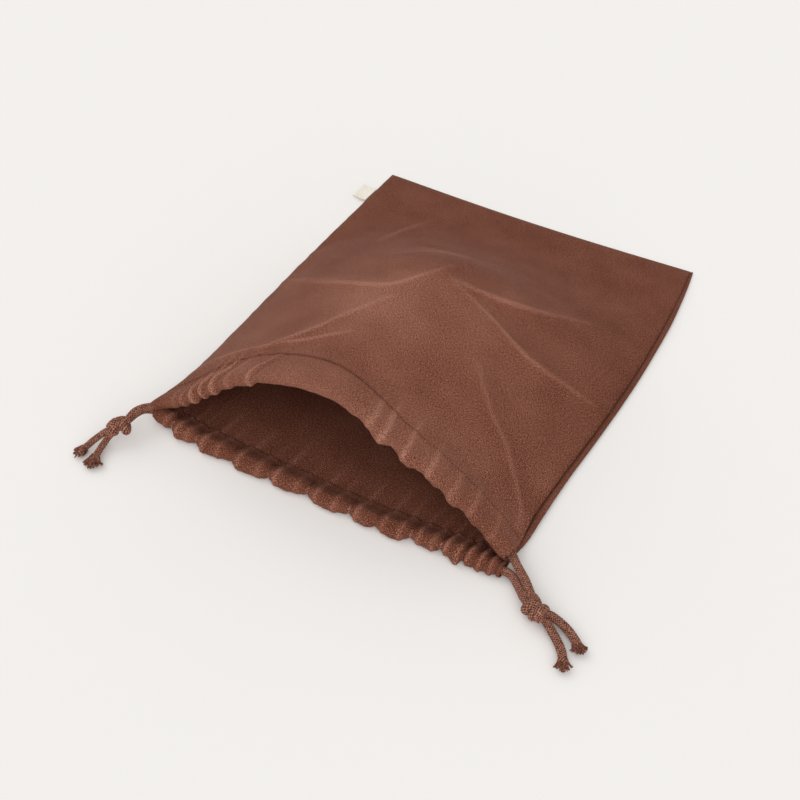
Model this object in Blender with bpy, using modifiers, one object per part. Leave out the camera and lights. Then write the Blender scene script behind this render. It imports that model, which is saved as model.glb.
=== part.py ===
"""A drawstring bread bag of brown linen, lying on its back with its mouth propped open.

Lengths in the tables are millimetres. X runs across the bag, Y from the mouth to the closed end, Z up.
The tables use the bag's own plan, whose start is the middle of its flat shape; ORIGIN is the place in
that plan which becomes the model's origin.
"""
import math
from collections import namedtuple

import bmesh
import bpy
import numpy as np

MM = 0.001
ORIGIN = (-2.1, -11.0)         # the middle of the cloth's box, in the bag's own plan

CLOTH = 1.2                    # thickness of the linen
SEAM_GAP = 0.3                 # between pieces that are sewn together or touch
CORD = 5.6                     # diameter of the drawcords
POINT_SPACING = 2.0            # distance between two points of a cord, in its diameters
CORD_EASE = 0.6                # room between a cord and the casing round it
CASING_TAIL = 15.0             # from the middle of the cord back to the casing's stitch line

FRONT_COLUMNS = 42             # steps across the front panel
BACK_COLUMNS = 22              # steps across the back panel, without its welt
SECTION_POINTS = 400           # points of a section before it is divided into even columns
CROWN = 0.06                   # how rounded the front panel's crest is, as a share of its half width
FINE = 8                       # steps between two points of a cord's route when it is measured

# Sections of the front panel, from the closed end to the mouth. A section runs from the left seam over
# the crest to the right seam, and steps is how many rows follow it before the next one. bow is how far
# its middle lies nearer the mouth. left_full and right_full say how full it stands beside the crest:
# 1 is a straight slope.
Section = namedtuple(
    "Section", "steps y bow left_x right_x left_lift right_lift crest_x crest_z left_full right_full")
FRONT_SECTIONS = [
    Section(2, 167, 4.0, -139.0, 138.6, 0.0, 0.0, 0, 2.2, 1.6, 1.3),
    Section(2, 148, 2.5, -139.6, 140.2, 0.0, 0.0, 0, 3.0, 1.6, 1.3),
    Section(3, 124, 1.0, -140.5, 141.8, 0.0, 0.0, 1, 5.0, 1.6, 1.3),
    Section(4, 95, 0, -141.2, 143.0, 0.0, 0.0, 3, 14.0, 1.6, 1.3),
    Section(3, 60, 0, -142.2, 143.3, 0.0, 0.0, 5, 36.0, 1.55, 1.25),
    Section(3, 30, 0, -143.0, 143.0, 0.0, 0.0, 5, 59.0, 1.5, 1.25),
    Section(4, 0, 0, -143.5, 141.8, 0.0, 0.0, 4, 74.0, 1.5, 1.25),
    Section(4, -40, 0, -143.5, 139.3, 0.4, 0.2, 0, 79.0, 1.55, 1.25),
    Section(4, -85, 0, -143.0, 135.5, 1.5, 0.6, -4, 78.0, 1.6, 1.25),
    Section(2, -122, 0, -141.5, 133.4, 4.5, 1.2, -7, 78.0, 1.65, 1.25),
    Section(1, -140, 0, -140.6, 134.2, 8.5, 4.4, -8, 78.5, 1.65, 1.25),
]

# Soft folds of the front panel: each a ridge (or, with a height below zero, a trough) along a bent line.
Fold = namedtuple("Fold", "start middle end height width")
FOLDS = [
    Fold((-136, -13), (-72, -35), (-22, -38), 4.2, 8),      # long ridge from the left seam
    Fold((-22, -38), (-4, -22), (9, 14), 2.4, 10),          # its turn up to the crest
    Fold((-118, -126), (-70, -113), (-20, -56), 4.6, 8),    # ridge from the left of the mouth
    Fold((-78, -128), (-46, -112), (-16, -84), 2.2, 8),     # smaller ridge beside it
    Fold((6, -22), (55, 3), (104, 52), 4.6, 8),             # right ridge towards the closed end
    Fold((24, -29), (70, -30), (130, -19), 4.6, 8),         # right ridge across
    Fold((46, -54), (76, -76), (108, -108), 3.0, 8),        # right ridge towards the corner
    Fold((104, -118), (118, -126), (132, -142), 2.0, 7),    # its end at the corner
    Fold((48, -14), (80, -6), (112, 16), -4.0, 12),         # trough between the right ridges
    Fold((58, -46), (88, -52), (120, -56), -3.0, 13),       # trough before the corner ridge
    Fold((-120, 10), (-98, 2), (-62, -8), -3.4, 10),        # trough behind the long ridge
    Fold((-116, -66), (-84, -68), (-48, -58), -3.0, 14),    # trough between the left ridges
    Fold((-86, 108), (-72, 128), (-64, 150), 1.6, 12),      # faint ridge on the flat part
    Fold((-70, 46), (-30, 60), (24, 62), -1.5, 14),         # hollow behind the crest
]
FOLD_STEPS = 6                 # straight stretches in each half of a fold's line
FOLD_END = 0.08                # share of a fold's length at each end that keeps the same height
FOLD_SWELL = 0.7               # 1 is a sine from end to end, less is fuller at the ends
SEAM_HOLD = 16                 # how far in from a seam or the casing the folds die out

# The two casings are gathered on their cords, and puff out between the gathers.
Puff = namedtuple("Puff", "x width depth")
FRONT_PUFFS = [
    Puff(-130, 7, 1.0), Puff(-113, 7, 2.2), Puff(-98, 6, 2.6), Puff(-84, 6, 1.6), Puff(-66, 8, 2.0),
    Puff(-42, 8, 1.4), Puff(-14, 10, 1.2), Puff(14, 8, 1.6), Puff(36, 7, 1.8), Puff(56, 6, 2.4),
    Puff(72, 6, 1.8), Puff(88, 6, 2.6), Puff(102, 6, 1.6), Puff(114, 6, 2.4), Puff(129, 6, 0.8),
]
BACK_PUFFS = [
    Puff(-126, 8, 2.6), Puff(-108, 7, 2.2), Puff(-88, 9, 2.8), Puff(-62, 9, 2.0), Puff(-34, 10, 2.6),
    Puff(-6, 9, 1.8), Puff(22, 9, 2.6), Puff(50, 9, 2.2), Puff(76, 8, 2.8), Puff(98, 7, 2.0),
    Puff(116, 7, 2.8), Puff(131, 5, 1.2),
]

# A casing's section: how far each layer lies behind the middle of the cord, and how high above it.
Layer = namedtuple("Layer", "behind above")
FRONT_OUTER = [Layer(CASING_TAIL, 0.0), Layer(10.5, 1.6), Layer(6.2, 3.0)]
FRONT_HEM = [Layer(6.2, -3.5), Layer(10.5, -2.7), Layer(14.6, -2.0)]
BACK_OUTER = [Layer(CASING_TAIL, -4.0), Layer(10.5, -4.0), Layer(5.5, -4.0)]
BACK_HEM = [Layer(5.6, 2.2), Layer(10.0, -0.9), Layer(14.6, -2.0)]
ROUND_ANGLES = (110, 72, 36, 0, -36, -72, -110)
SQUARE_REACH = 3.0             # behind the cord's middle, how far layers lie square to the cord
STRAIGHT_REACH = 10.0          # and from where they lie straight behind it
LEAST_PUFF = 0.3               # share of a puff that shows above and below the fold
FRONT_FLARE = 1.1              # how much wider the front casing's ends open
FLARE_REACH = 5.0              # and how far in they narrow again

# The cords' routes, from the left knot to the right one, and which of their points the casing holds.
FRONT_CORD = [
    (-145.9, -193.9, 17.0), (-144.8, -188.4, 18.5), (-143.4, -182.0, 17.6), (-141.6, -175.2, 15.0),
    (-137.0, -167.8, 13.6), (-128, -165.4, 16.5), (-118, -164.6, 23), (-104, -163, 36),
    (-90, -161, 47.5), (-74, -159, 58.5), (-56, -157.5, 68.5), (-36, -156, 75.5), (-14, -155, 79.2),
    (6, -155, 78.4), (22, -156, 72.5), (37, -158, 64), (52, -159, 56.5), (66, -160, 51),
    (79, -161, 45.5), (90, -162, 39.5), (101, -163, 33.5), (112, -164, 26), (122, -164.8, 18),
    (130, -165.2, 13.2), (136.2, -166.6, 11.2), (141.4, -171.2, 10.2), (146.6, -176.2, 9.6),
    (152.2, -181.2, 9.2), (159.1, -188.1, 8.7),
]
FRONT_CASING = (4, 24)
BACK_CORD = [
    (-149.8, -194.4, 10.8), (-149.6, -187.6, 12.6), (-147.6, -180.6, 10.6), (-142.4, -176.0, 7.4),
    (-133.6, -174.6, 5.4), (-120, -176.6, 4.6), (-104, -178.8, 4.6), (-80, -180.4, 4.6), (-50, -181.2, 4.6),
    (-20, -181.6, 4.6), (10, -181.8, 4.6), (40, -181.8, 4.6), (64, -181.0, 4.6), (86, -179.8, 4.6),
    (104, -179.2, 4.6), (122, -178.4, 4.6), (134.5, -178.0, 4.6), (140.8, -180.2, 4.5),
    (146.0, -184.2, 4.4), (150.8, -188.4, 4.6), (155.3, -192.0, 5.2),
]
BACK_CASING = (4, 16)

# The cords' ends behind the knots, from the knot outward, and the knots themselves.
TAILS = {
    "tail_left_1": [(-156.6, -208.2, 11.2), (-159.3, -213.8, 8.6), (-162.6, -219.2, 6.2),
                    (-165.2, -224.6, 4.4), (-166.4, -230.4, 3.7)],
    "tail_left_2": [(-150.4, -209.6, 10.2), (-151.4, -216.2, 7.4), (-152.0, -222.8, 5.2),
                    (-151.4, -229.6, 3.9), (-148.4, -236.4, 3.6)],
    "tail_right_1": [(172.7, -200.4, 6.0), (180.4, -204.4, 4.6), (186.6, -207.6, 3.8),
                     (191.8, -212.0, 3.6), (195.2, -217.4, 3.6), (197.6, -223.0, 3.6)],
    "tail_right_2": [(173.8, -193.0, 7.2), (180.6, -193.6, 6.0), (186.0, -195.2, 4.8),
                     (191.4, -198.0, 3.9), (196.0, -202.4, 3.6), (199.2, -206.6, 3.6)],
}
TIP_SPREAD = 1.25              # how much wider than its cord a frayed tip is
TIP_SHARE = 0.28               # share of a cord end's length over which it frays
Knot = namedtuple("Knot", "centre size heading tilt")
KNOTS = {
    "knot_left": Knot((-149.8, -202.0, 13.8), (17.6, 13.4, 12.6), -112, 20),
    "knot_right": Knot((164.9, -194.8, 7.2), (19.0, 14.0, 12.8), -32, 3),
}
KNOT_TURNS = 3                 # raised turns of cord round a knot
KNOT_RELIEF = 0.08             # their depth, as a share of the knot's radius

# The back panel from the closed end to its casing. Outside the right seam line it makes a welt: out and
# up are measured from the seam line, and welt is how much of it stands up in each row.
BackRow = namedtuple("BackRow", "steps y bow left_x right_x left_lift right_lift welt")
BACK_ROWS = [
    BackRow(1, 167, 4.0, -139.0, 138.6, 0, 0, 0.3),
    BackRow(1, 148, 2.5, -139.6, 140.2, 0, 0, 0.6),
    BackRow(1, 124, 1.0, -140.5, 141.8, 0, 0, 0.8),
    BackRow(1, 95, 0, -141.2, 143.0, 0, 0, 1),
    BackRow(1, 60, 0, -142.2, 143.3, 0, 0, 1),
    BackRow(1, 30, 0, -143.0, 143.0, 0, 0, 1),
    BackRow(2, 0, 0, -143.5, 141.8, 0, 0, 1),
    BackRow(2, -40, 0, -143.5, 139.3, 0.3, 0.1, 1),
    BackRow(3, -85, 0, -143.0, 135.5, 1.2, 0.4, 1),
    BackRow(1, -122, 0, -141.5, 133.4, 3.8, 0.7, 1),
    BackRow(1, -146, 0, -138.4, 132.6, 1.0, 0.3, 0.6),
]
LIFT_REACH = 24                # how far in from a seam its lift dies out
LEAST_LIFT = 0.06              # where the panel would lie lower above the surface, it lies flat on it
WeltPoint = namedtuple("WeltPoint", "out up")
WELT = [WeltPoint(1.0, 0.4), WeltPoint(1.8, 1.9), WeltPoint(2.6, 2.4), WeltPoint(3.4, 1.9),
        WeltPoint(4.0, 0.6)]
WELT_STRETCH = 5.0             # length of cloth at the right end of the casing that the welt runs into

# The label: a folded strip of tape that stands out of the left seam.
LABEL_THICK = 1.0
LABEL_START, LABEL_END = 122.0, 140.0       # along the seam
LABEL_LENGTH = 11.0            # out of the seam
LABEL_CURL = 2.6               # how far its free end rises
LABEL_SKEW = -3.0              # how far its free end leans to the mouth
LABEL_STEPS = 6


def metres(point):
    """A point of the bag's own plan, in the model's frame."""
    return ((point[0] - ORIGIN[0]) * MM, (point[1] - ORIGIN[1]) * MM, point[2] * MM)


def smooth_curve(points, steps):
    """A Catmull-Rom curve through rows of numbers, with a number of steps, or one for each stretch."""
    knots = np.array(points, float)
    stretches = len(knots) - 1
    counts = [steps] * stretches if isinstance(steps, int) else list(steps)
    padded = np.vstack([2 * knots[0] - knots[1], knots, 2 * knots[-1] - knots[-2]])
    curve = []
    for index, count in enumerate(counts):
        p0, p1, p2, p3 = padded[index:index + 4]
        for t in np.arange(count) / count:
            curve.append(0.5 * (2 * p1 + (p2 - p0) * t + (2 * p0 - 5 * p1 + 4 * p2 - p3) * t ** 2
                                + (3 * p1 - p0 - 3 * p2 + p3) * t ** 3))
    curve.append(knots[-1])
    return np.array(curve)


def places_along(curve):
    """Length along the curve at each of its points, whose first three numbers are x, y and z."""
    return np.concatenate([[0], np.cumsum(np.linalg.norm(np.diff(curve[:, :3], axis=0), axis=1))])


def points_at(curve, places):
    """Points of the curve at the given lengths along it."""
    lengths = places_along(curve)
    return np.stack([np.interp(places, lengths, column) for column in curve.T], axis=1)


def unit_rows(vectors):
    """The same directions at length 1."""
    return vectors / np.linalg.norm(vectors, axis=1)[:, None]


def casing_axis(route, casing):
    """The middle of the cord where its casing holds it, each point with the cord's direction there."""
    first, last = casing
    curve = smooth_curve(route, FINE)
    axis = np.hstack([curve, unit_rows(np.gradient(curve, axis=0))])
    return axis[first * FINE:last * FINE + 1]


def bowed(row, x):
    """Where a row of a panel lies along the bag: its middle may bow towards the mouth."""
    across = (x - row.left_x) / (row.right_x - row.left_x)
    return row.y - row.bow * np.sin(np.pi * across)


def section_curve(section):
    """One section of the front panel, as even points from the left seam to the right."""
    seam = CLOTH * 1.5 + SEAM_GAP
    x = np.linspace(section.left_x, section.right_x, SECTION_POINTS)
    on_left = x < section.crest_x
    reach = np.where(on_left, section.crest_x - section.left_x, section.right_x - section.crest_x)
    away = np.abs(x - section.crest_x) / reach
    edge = seam + np.where(on_left, section.left_lift, section.right_lift)
    full = np.where(on_left, section.left_full, section.right_full)
    rounded = np.sqrt(away ** 2 + CROWN ** 2) - CROWN * (1 - away)
    fall = np.clip(rounded, 0, 1) ** full
    z = edge + np.maximum(section.crest_z - edge, 0) * (1 - fall)
    curve = np.stack([x, bowed(section, x), z], axis=1)
    return points_at(curve, np.linspace(0, places_along(curve)[-1], FRONT_COLUMNS + 1))


def line_distance(x, y, fold):
    """How far plan points lie from a fold's line, and where along it they lie, from 0 to 1."""
    line = smooth_curve([fold.start, fold.middle, fold.end], FOLD_STEPS)
    nearest = np.full(x.shape, np.inf)
    along = np.zeros(x.shape)
    for index, (a, b) in enumerate(zip(line, line[1:])):
        run = b - a
        t = np.clip(((x - a[0]) * run[0] + (y - a[1]) * run[1]) / (run @ run), 0, 1)
        gap = np.hypot(x - a[0] - t * run[0], y - a[1] - t * run[1])
        along = np.where(gap < nearest, (index + t) / (len(line) - 1), along)
        nearest = np.minimum(gap, nearest)
    return nearest, along


def fold_relief(x, y):
    """Height that the folds add to the front panel at plan points."""
    relief = np.zeros(x.shape)
    for fold in FOLDS:
        gap, along = line_distance(x, y, fold)
        taper = np.sin(np.pi * np.clip(along, FOLD_END, 1 - FOLD_END)) ** FOLD_SWELL
        relief += fold.height * taper * np.exp(-(gap / fold.width) ** 2)
    return relief


def puff_depth(x, puffs):
    """How far a casing stands out round its cord at each place across the bag."""
    return sum(puff.depth * np.exp(-((x - puff.x) / puff.width) ** 2) for puff in puffs)


def casing_rows(axis, puffs, outer, hem, turn, flare):
    """A casing round its cord, row by row from the stitch line round the fold and back.

    turn is 1 where the hem is folded down and in, and -1 where it is folded up and in. flare is how
    much wider the casing's ends open.
    """
    places = places_along(axis)
    axis, along = axis[:, :3], unit_rows(axis[:, 3:])
    square = unit_rows(np.stack([-along[:, 1], along[:, 0], 0 * along[:, 0]], axis=1))
    up = unit_rows(np.cross(along, square))
    from_end = np.minimum(places, places[-1] - places)
    radius = CORD / 2 + CORD_EASE + CLOTH / 2 + flare * np.exp(-from_end / FLARE_REACH)[:, None]
    puff = puff_depth(axis[:, 0], puffs)[:, None]

    def layer_row(layer):
        """Close to the cord a layer lies square to it, and at the stitch line straight behind it."""
        straight = (layer.behind - SQUARE_REACH) / (STRAIGHT_REACH - SQUARE_REACH)
        straight = min(max(straight, 0), 1)
        back = unit_rows(square * (1 - straight) + np.array([0, straight, 0]))
        return axis + back * layer.behind + up * layer.above

    rows = [layer_row(layer) for layer in outer]
    for angle in ROUND_ANGLES:
        behind = -math.cos(math.radians(angle))
        above = turn * math.sin(math.radians(angle))
        rows.append(axis + (square * behind + up * above) * (radius + puff * max(-behind, LEAST_PUFF)))
    rows += [layer_row(layer) for layer in hem]
    for row in rows:
        row[:, 2] = np.maximum(row[:, 2], CLOTH / 2)
    return rows


def front_rows():
    """The front panel, row by row from the closed end to the end of its hem."""
    axis = casing_axis(FRONT_CORD, FRONT_CASING)
    axis = points_at(axis, np.linspace(0, places_along(axis)[-1], FRONT_COLUMNS + 1))
    casing = casing_rows(axis, FRONT_PUFFS, FRONT_OUTER, FRONT_HEM, 1, FRONT_FLARE)
    sections = [section_curve(section).ravel() for section in FRONT_SECTIONS] + [casing[0].ravel()]
    steps = [section.steps for section in FRONT_SECTIONS]
    lofted = smooth_curve(sections, steps).reshape(-1, FRONT_COLUMNS + 1, 3)
    x, y = lofted[..., 0], lofted[..., 1]
    from_seams = np.minimum(x - x[:, :1], x[:, -1:] - x)
    from_casing = y - casing[0][:, 1]
    hold = np.clip(np.minimum(from_seams, from_casing) / SEAM_HOLD, 0, 1)
    lofted[..., 2] += fold_relief(x, y) * hold
    return np.concatenate([lofted, casing[1:]])


def back_row(row):
    """One row of the back panel: flat, lifted a little at its seams, with the welt at its right."""
    x = np.linspace(row.left_x, row.right_x, BACK_COLUMNS + 1)
    left = row.left_lift * np.clip(1 - (x - row.left_x) / LIFT_REACH, 0, 1) ** 2
    right = row.right_lift * np.clip(1 - (row.right_x - x) / LIFT_REACH, 0, 1) ** 2
    flat = np.stack([x, bowed(row, x), CLOTH / 2 + left + right], axis=1)
    foot = WELT[0].out
    welt = [(row.right_x + foot + (point.out - foot) * row.welt, row.y, flat[-1, 2] + point.up * row.welt)
            for point in WELT]
    return np.vstack([flat, welt])


def back_rows():
    """The back panel, row by row from the end of its hem to the closed end."""
    axis = casing_axis(BACK_CORD, BACK_CASING)
    whole = places_along(axis)[-1]
    even = np.linspace(0, whole - WELT_STRETCH, BACK_COLUMNS + 1)
    close = whole - WELT_STRETCH + np.arange(1, len(WELT) + 1) * WELT_STRETCH / len(WELT)
    axis = points_at(axis, np.concatenate([even, close]))
    casing = casing_rows(axis, BACK_PUFFS, BACK_OUTER, BACK_HEM, -1, 0)
    flat = np.array([back_row(row) for row in BACK_ROWS])
    steps = [row.steps for row in BACK_ROWS[:-1]]
    lofted = smooth_curve(flat.reshape(len(flat), -1), steps).reshape(-1, *flat.shape[1:])
    rows = np.concatenate([lofted, casing])
    rows[..., 2] = np.where(rows[..., 2] < CLOTH / 2 + LEAST_LIFT, CLOTH / 2, rows[..., 2])
    return rows[::-1]


def label_rows():
    """The label, row by row from the seam outward."""
    rows = []
    for step in range(LABEL_STEPS + 1):
        t = step / LABEL_STEPS
        out = LABEL_LENGTH * t
        rise = LABEL_CURL * t ** 2
        rows.append([(seam_x(y) - SEAM_GAP - out, y + LABEL_SKEW * t, SEAM_GAP + CLOTH + rise)
                     for y in np.linspace(LABEL_START, LABEL_END, LABEL_STEPS + 1)])
    return rows


def seam_x(y):
    """Where the left seam runs at a place along the bag."""
    sections = sorted(FRONT_SECTIONS, key=lambda section: section.y)
    return float(np.interp(y, [s.y for s in sections], [s.left_x for s in sections]))


def add_object(name, data, material, collection):
    """A named object with one material, linked to the bag's collection."""
    data.materials.append(material)
    obj = bpy.data.objects.new(name, data)
    collection.objects.link(obj)
    return obj


def add_sheet(name, rows, thickness, material, collection):
    """An open grid through rows of points, given its thickness by Solidify."""
    grid = bmesh.new()
    verts = [[grid.verts.new(metres(point)) for point in row] for row in rows]
    for near, far in zip(verts, verts[1:]):
        for a, b, c, d in zip(near, near[1:], far[1:], far):
            grid.faces.new((a, d, c, b))
    mesh = bpy.data.meshes.new(name)
    grid.to_mesh(mesh)
    grid.free()
    mesh.shade_smooth()
    obj = add_object(name, mesh, material, collection)
    thicken = obj.modifiers.new("cloth thickness", "SOLIDIFY")
    thicken.thickness = thickness * MM
    thicken.offset = 0
    return obj


def add_cord(name, route, radii, material, collection):
    """A round cord along a smooth curve through its route, one point for each two diameters or so."""
    fine = smooth_curve(route, FINE)
    whole = places_along(fine)[-1]
    count = max(4, round(whole / (POINT_SPACING * CORD)))
    places = np.linspace(0, whole, count + 1)
    points = points_at(fine, places)
    curve = bpy.data.curves.new(name, "CURVE")
    curve.dimensions = "3D"
    curve.bevel_depth = CORD / 2 * MM
    curve.bevel_resolution = 2
    curve.use_fill_caps = True
    spline = curve.splines.new("POLY")
    spline.points.add(count)
    for item, point, place in zip(spline.points, points, places):
        item.co = (*metres(point), 1)
        item.radius = float(np.interp(place / whole, [0, 1 - TIP_SHARE, 1], radii))
    return add_object(name, curve, material, collection)


def add_knot(name, knot, material, collection):
    """A tight lump of turned cord: a sphere drawn out to the knot's size, with raised turns."""
    ball = bmesh.new()
    bmesh.ops.create_uvsphere(ball, u_segments=18, v_segments=10, radius=1)
    heading = math.radians(knot.heading)
    tilt = math.radians(knot.tilt)
    along = np.array([math.cos(heading) * math.cos(tilt), math.sin(heading) * math.cos(tilt),
                      -math.sin(tilt)])
    across = np.array([-math.sin(heading), math.cos(heading), 0])
    up = np.cross(along, across)
    half = np.array(knot.size) / 2
    for vert in ball.verts:
        unit = np.array(vert.co)
        swirl = math.atan2(unit[2], unit[1])
        ridge = KNOT_RELIEF * math.cos(KNOT_TURNS * math.pi * unit[0] + swirl)
        local = unit * half * (1 - KNOT_RELIEF + ridge)
        point = np.array(knot.centre) + along * local[0] + across * local[1] + up * local[2]
        vert.co = metres(point)
    mesh = bpy.data.meshes.new(name)
    ball.to_mesh(mesh)
    ball.free()
    mesh.shade_smooth()
    return add_object(name, mesh, material, collection)


def cloth_material(name, colour, roughness):
    """A matte textile material."""
    material = bpy.data.materials.new(name)
    material.use_nodes = True
    shader = material.node_tree.nodes["Principled BSDF"]
    shader.inputs["Base Color"].default_value = (*colour, 1)
    shader.inputs["Roughness"].default_value = roughness
    shader.inputs["Metallic"].default_value = 0
    return material


def clear_scene():
    """Removes the objects that the scene starts with."""
    for obj in list(bpy.data.objects):
        bpy.data.objects.remove(obj)


def build():
    """Makes every piece of the bag."""
    clear_scene()
    bag = bpy.data.collections.new("bread_bag")
    bpy.context.scene.collection.children.link(bag)
    linen = cloth_material("brown_linen", (0.19, 0.070, 0.042), 0.92)
    cotton = cloth_material("brown_cord", (0.18, 0.066, 0.044), 0.95)
    tape = cloth_material("cream_tape", (0.78, 0.72, 0.62), 0.85)

    add_sheet("front_panel", front_rows(), CLOTH, linen, bag)
    add_sheet("back_panel", back_rows(), CLOTH, linen, bag)
    add_sheet("label", label_rows(), LABEL_THICK, tape, bag)
    add_cord("drawcord_front", FRONT_CORD, (1, 1, 1), cotton, bag)
    add_cord("drawcord_back", BACK_CORD, (1, 1, 1), cotton, bag)
    for name, route in TAILS.items():
        add_cord(name, route, (1, 1, TIP_SPREAD), cotton, bag)
    for name, knot in KNOTS.items():
        add_knot(name, knot, cotton, bag)


build()
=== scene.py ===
"""A drawstring bread bag of brown linen, lying on its back with its mouth propped open.

Lengths in the tables are millimetres. X runs across the bag, Y from the mouth to the closed end, Z up.
The tables use the bag's own plan, whose start is the middle of its flat shape; ORIGIN is the place in
that plan which becomes the model's origin.
"""

import math
from collections import namedtuple

import bmesh
import bpy
import numpy as np
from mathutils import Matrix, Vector


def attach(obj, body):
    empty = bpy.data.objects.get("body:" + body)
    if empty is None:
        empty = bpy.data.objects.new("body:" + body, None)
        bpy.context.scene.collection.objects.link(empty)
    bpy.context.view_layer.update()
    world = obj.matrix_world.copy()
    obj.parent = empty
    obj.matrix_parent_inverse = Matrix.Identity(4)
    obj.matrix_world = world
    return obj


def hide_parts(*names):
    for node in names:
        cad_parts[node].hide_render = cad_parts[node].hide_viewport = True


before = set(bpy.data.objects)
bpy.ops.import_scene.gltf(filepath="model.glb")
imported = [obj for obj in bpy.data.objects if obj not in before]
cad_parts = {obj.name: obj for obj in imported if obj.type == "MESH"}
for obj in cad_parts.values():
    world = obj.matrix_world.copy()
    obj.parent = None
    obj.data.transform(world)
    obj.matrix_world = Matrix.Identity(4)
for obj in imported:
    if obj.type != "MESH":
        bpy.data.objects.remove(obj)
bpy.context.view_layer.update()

MM = 0.001
ORIGIN = (-2.1, -11)

# The camera, fitted to the photo: place and aim in metres, and its lens and sensor in millimetres.
CAMERA_PLACE = (0.2919, -0.5775, 0.6090)
CAMERA_AIM = (0.0047, -0.0624, 0)
CAMERA_LENS, CAMERA_SENSOR = 52.47, 36

# The cloth: its solids are 1.2 mm thick, and the sheets shown lie in the middle of them.
SOLID_CLOTH = 1.2
CLOTH = 0.8
SEAM_GAP = 0.3
SEAM_HEIGHT = SOLID_CLOTH * 1.5 + SEAM_GAP  # middle of the front panel along its seams
CORD = 5.6
CORD_EASE = 0.6  # room between a cord and the casing round it
CASING_TAIL = 15  # from the middle of the cord back to the casing's stitch line
FLAT_WIDTH, FLAT_LENGTH = 282, 405  # one panel as it was cut, hem allowance included

FRONT_COLUMNS = 300  # steps across the front panel
BACK_COLUMNS = 250  # steps across the back panel, without its welt
INSIDE_STEP = 3  # the front panel's inside has one point for this many of its outside
SECTION_POINTS = 600  # points of a section before it is divided into even columns
CROWN = 0.06  # how rounded the front panel's crest is, as a share of its half width
FINE = 8  # steps between two points of a cord's route when it is measured
CASING_STEPS = 4  # rows of a sheet for each row of a casing

# Sections of the front panel, from the closed end to the mouth. A section runs from the left seam over
# the crest to the right seam, and steps is how many rows of the sheet lead to the next. bow is how far
# its middle lies nearer the mouth. left_full and right_full say how full it stands beside the crest: 1 is
# a straight slope.
Section = namedtuple(
    "Section", "steps y bow left_x right_x left_lift right_lift crest_x crest_z left_full right_full")
FRONT_SECTIONS = [Section(*row) for row in (
    (6, 167, 4, -139, 138.6, 0, 0, 0, 2.2, 1.6, 1.3),
    (6, 148, 2.5, -139.6, 140.2, 0, 0, 0, 3, 1.6, 1.3),
    (9, 124, 1, -140.5, 141.8, 0, 0, 1, 5, 1.6, 1.3),
    (12, 95, 0, -141.2, 143, 0, 0, 3, 14, 1.6, 1.3),
    (12, 60, 0, -142.2, 143.3, 0, 0, 5, 36, 1.55, 1.25),
    (24, 30, 0, -143, 143, 0, 0, 5, 59, 1.5, 1.25),
    (36, 0, 0, -143.5, 141.8, 0, 0, 4, 74, 1.5, 1.25),
    (36, -40, 0, -143.5, 139.3, 0.4, 0.2, 0, 79, 1.55, 1.25),
    (40, -85, 0, -143, 135.5, 1.5, 0.6, -4, 78, 1.6, 1.25),
    (18, -122, 0, -141.5, 133.4, 4.5, 1.2, -7, 79, 1.65, 1.25),
    (8, -136, -5, -140.9, 134, 7.2, 2.6, -8, 79.8, 1.65, 1.25),
)]

# Folds of the front panel: each a ridge (or, with a height below zero, a trough) along a bent line. crisp
# is 0 for a round fold and 1 for one with a sharp top.
Fold = namedtuple("Fold", "start middle end height width crisp")
FOLDS = [Fold(*row) for row in (
    ((-136, -13), (-72, -38), (-22, -44), 3, 8, 0.5),  # long ridge from the left seam
    ((-22, -44), (-4, -24), (9, 10), 1.8, 10, 0.1),  # its turn up to the crest
    ((-118, -128), (-70, -122), (-20, -60), 3, 8, 0.6),  # ridge from the left of the mouth
    ((-74, -124), (-46, -114), (-18, -96), 1.4, 8, 0.5),  # smaller ridge beside it
    ((14, -18), (55, 3), (102, 50), 2.8, 8, 0.3),  # right ridge towards the closed end
    ((20, -22), (70, -30), (130, -19), 2.8, 8, 0.5),  # right ridge across
    ((46, -54), (80, -86), (112, -114), 2, 8, 0.5),  # right ridge towards the corner
    ((104, -108), (122, -126), (130, -143), 1.4, 7, 0.3),  # its end at the corner
    ((48, -14), (80, -6), (112, 16), -2.4, 12, 0),  # trough between the right ridges
    ((58, -46), (88, -52), (120, -56), -1.6, 13, 0),  # trough before the corner ridge
    ((-120, 10), (-98, 2), (-62, -8), -2, 10, 0),  # trough behind the long ridge
    ((-116, -66), (-84, -68), (-48, -58), -1.8, 14, 0),  # trough between the left ridges
    ((-90, 55), (-85, 91), (-75, 120), 0.7, 12, 0.2),  # faint ridge on the flat part
    ((-70, 46), (-30, 60), (24, 62), -1.2, 14, 0),  # hollow behind the crest
)]
FOLD_STEPS = 8  # straight stretches in each half of a fold's line
FOLD_END = 0.08  # share of a fold's length at each end that keeps the same height
FOLD_SWELL = 0.7  # 1 is a sine from end to end, less is fuller at the ends
CRISP_ROUND = 0.12  # how round a crisp fold's top still is, as a share of its width
CRISP_FALL, CRISP_REACH = 1.6, 1.6  # how fast it falls off, and how far out it reaches
SEAM_HOLD = 16  # how far in from a seam or the casing the folds die out

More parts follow.
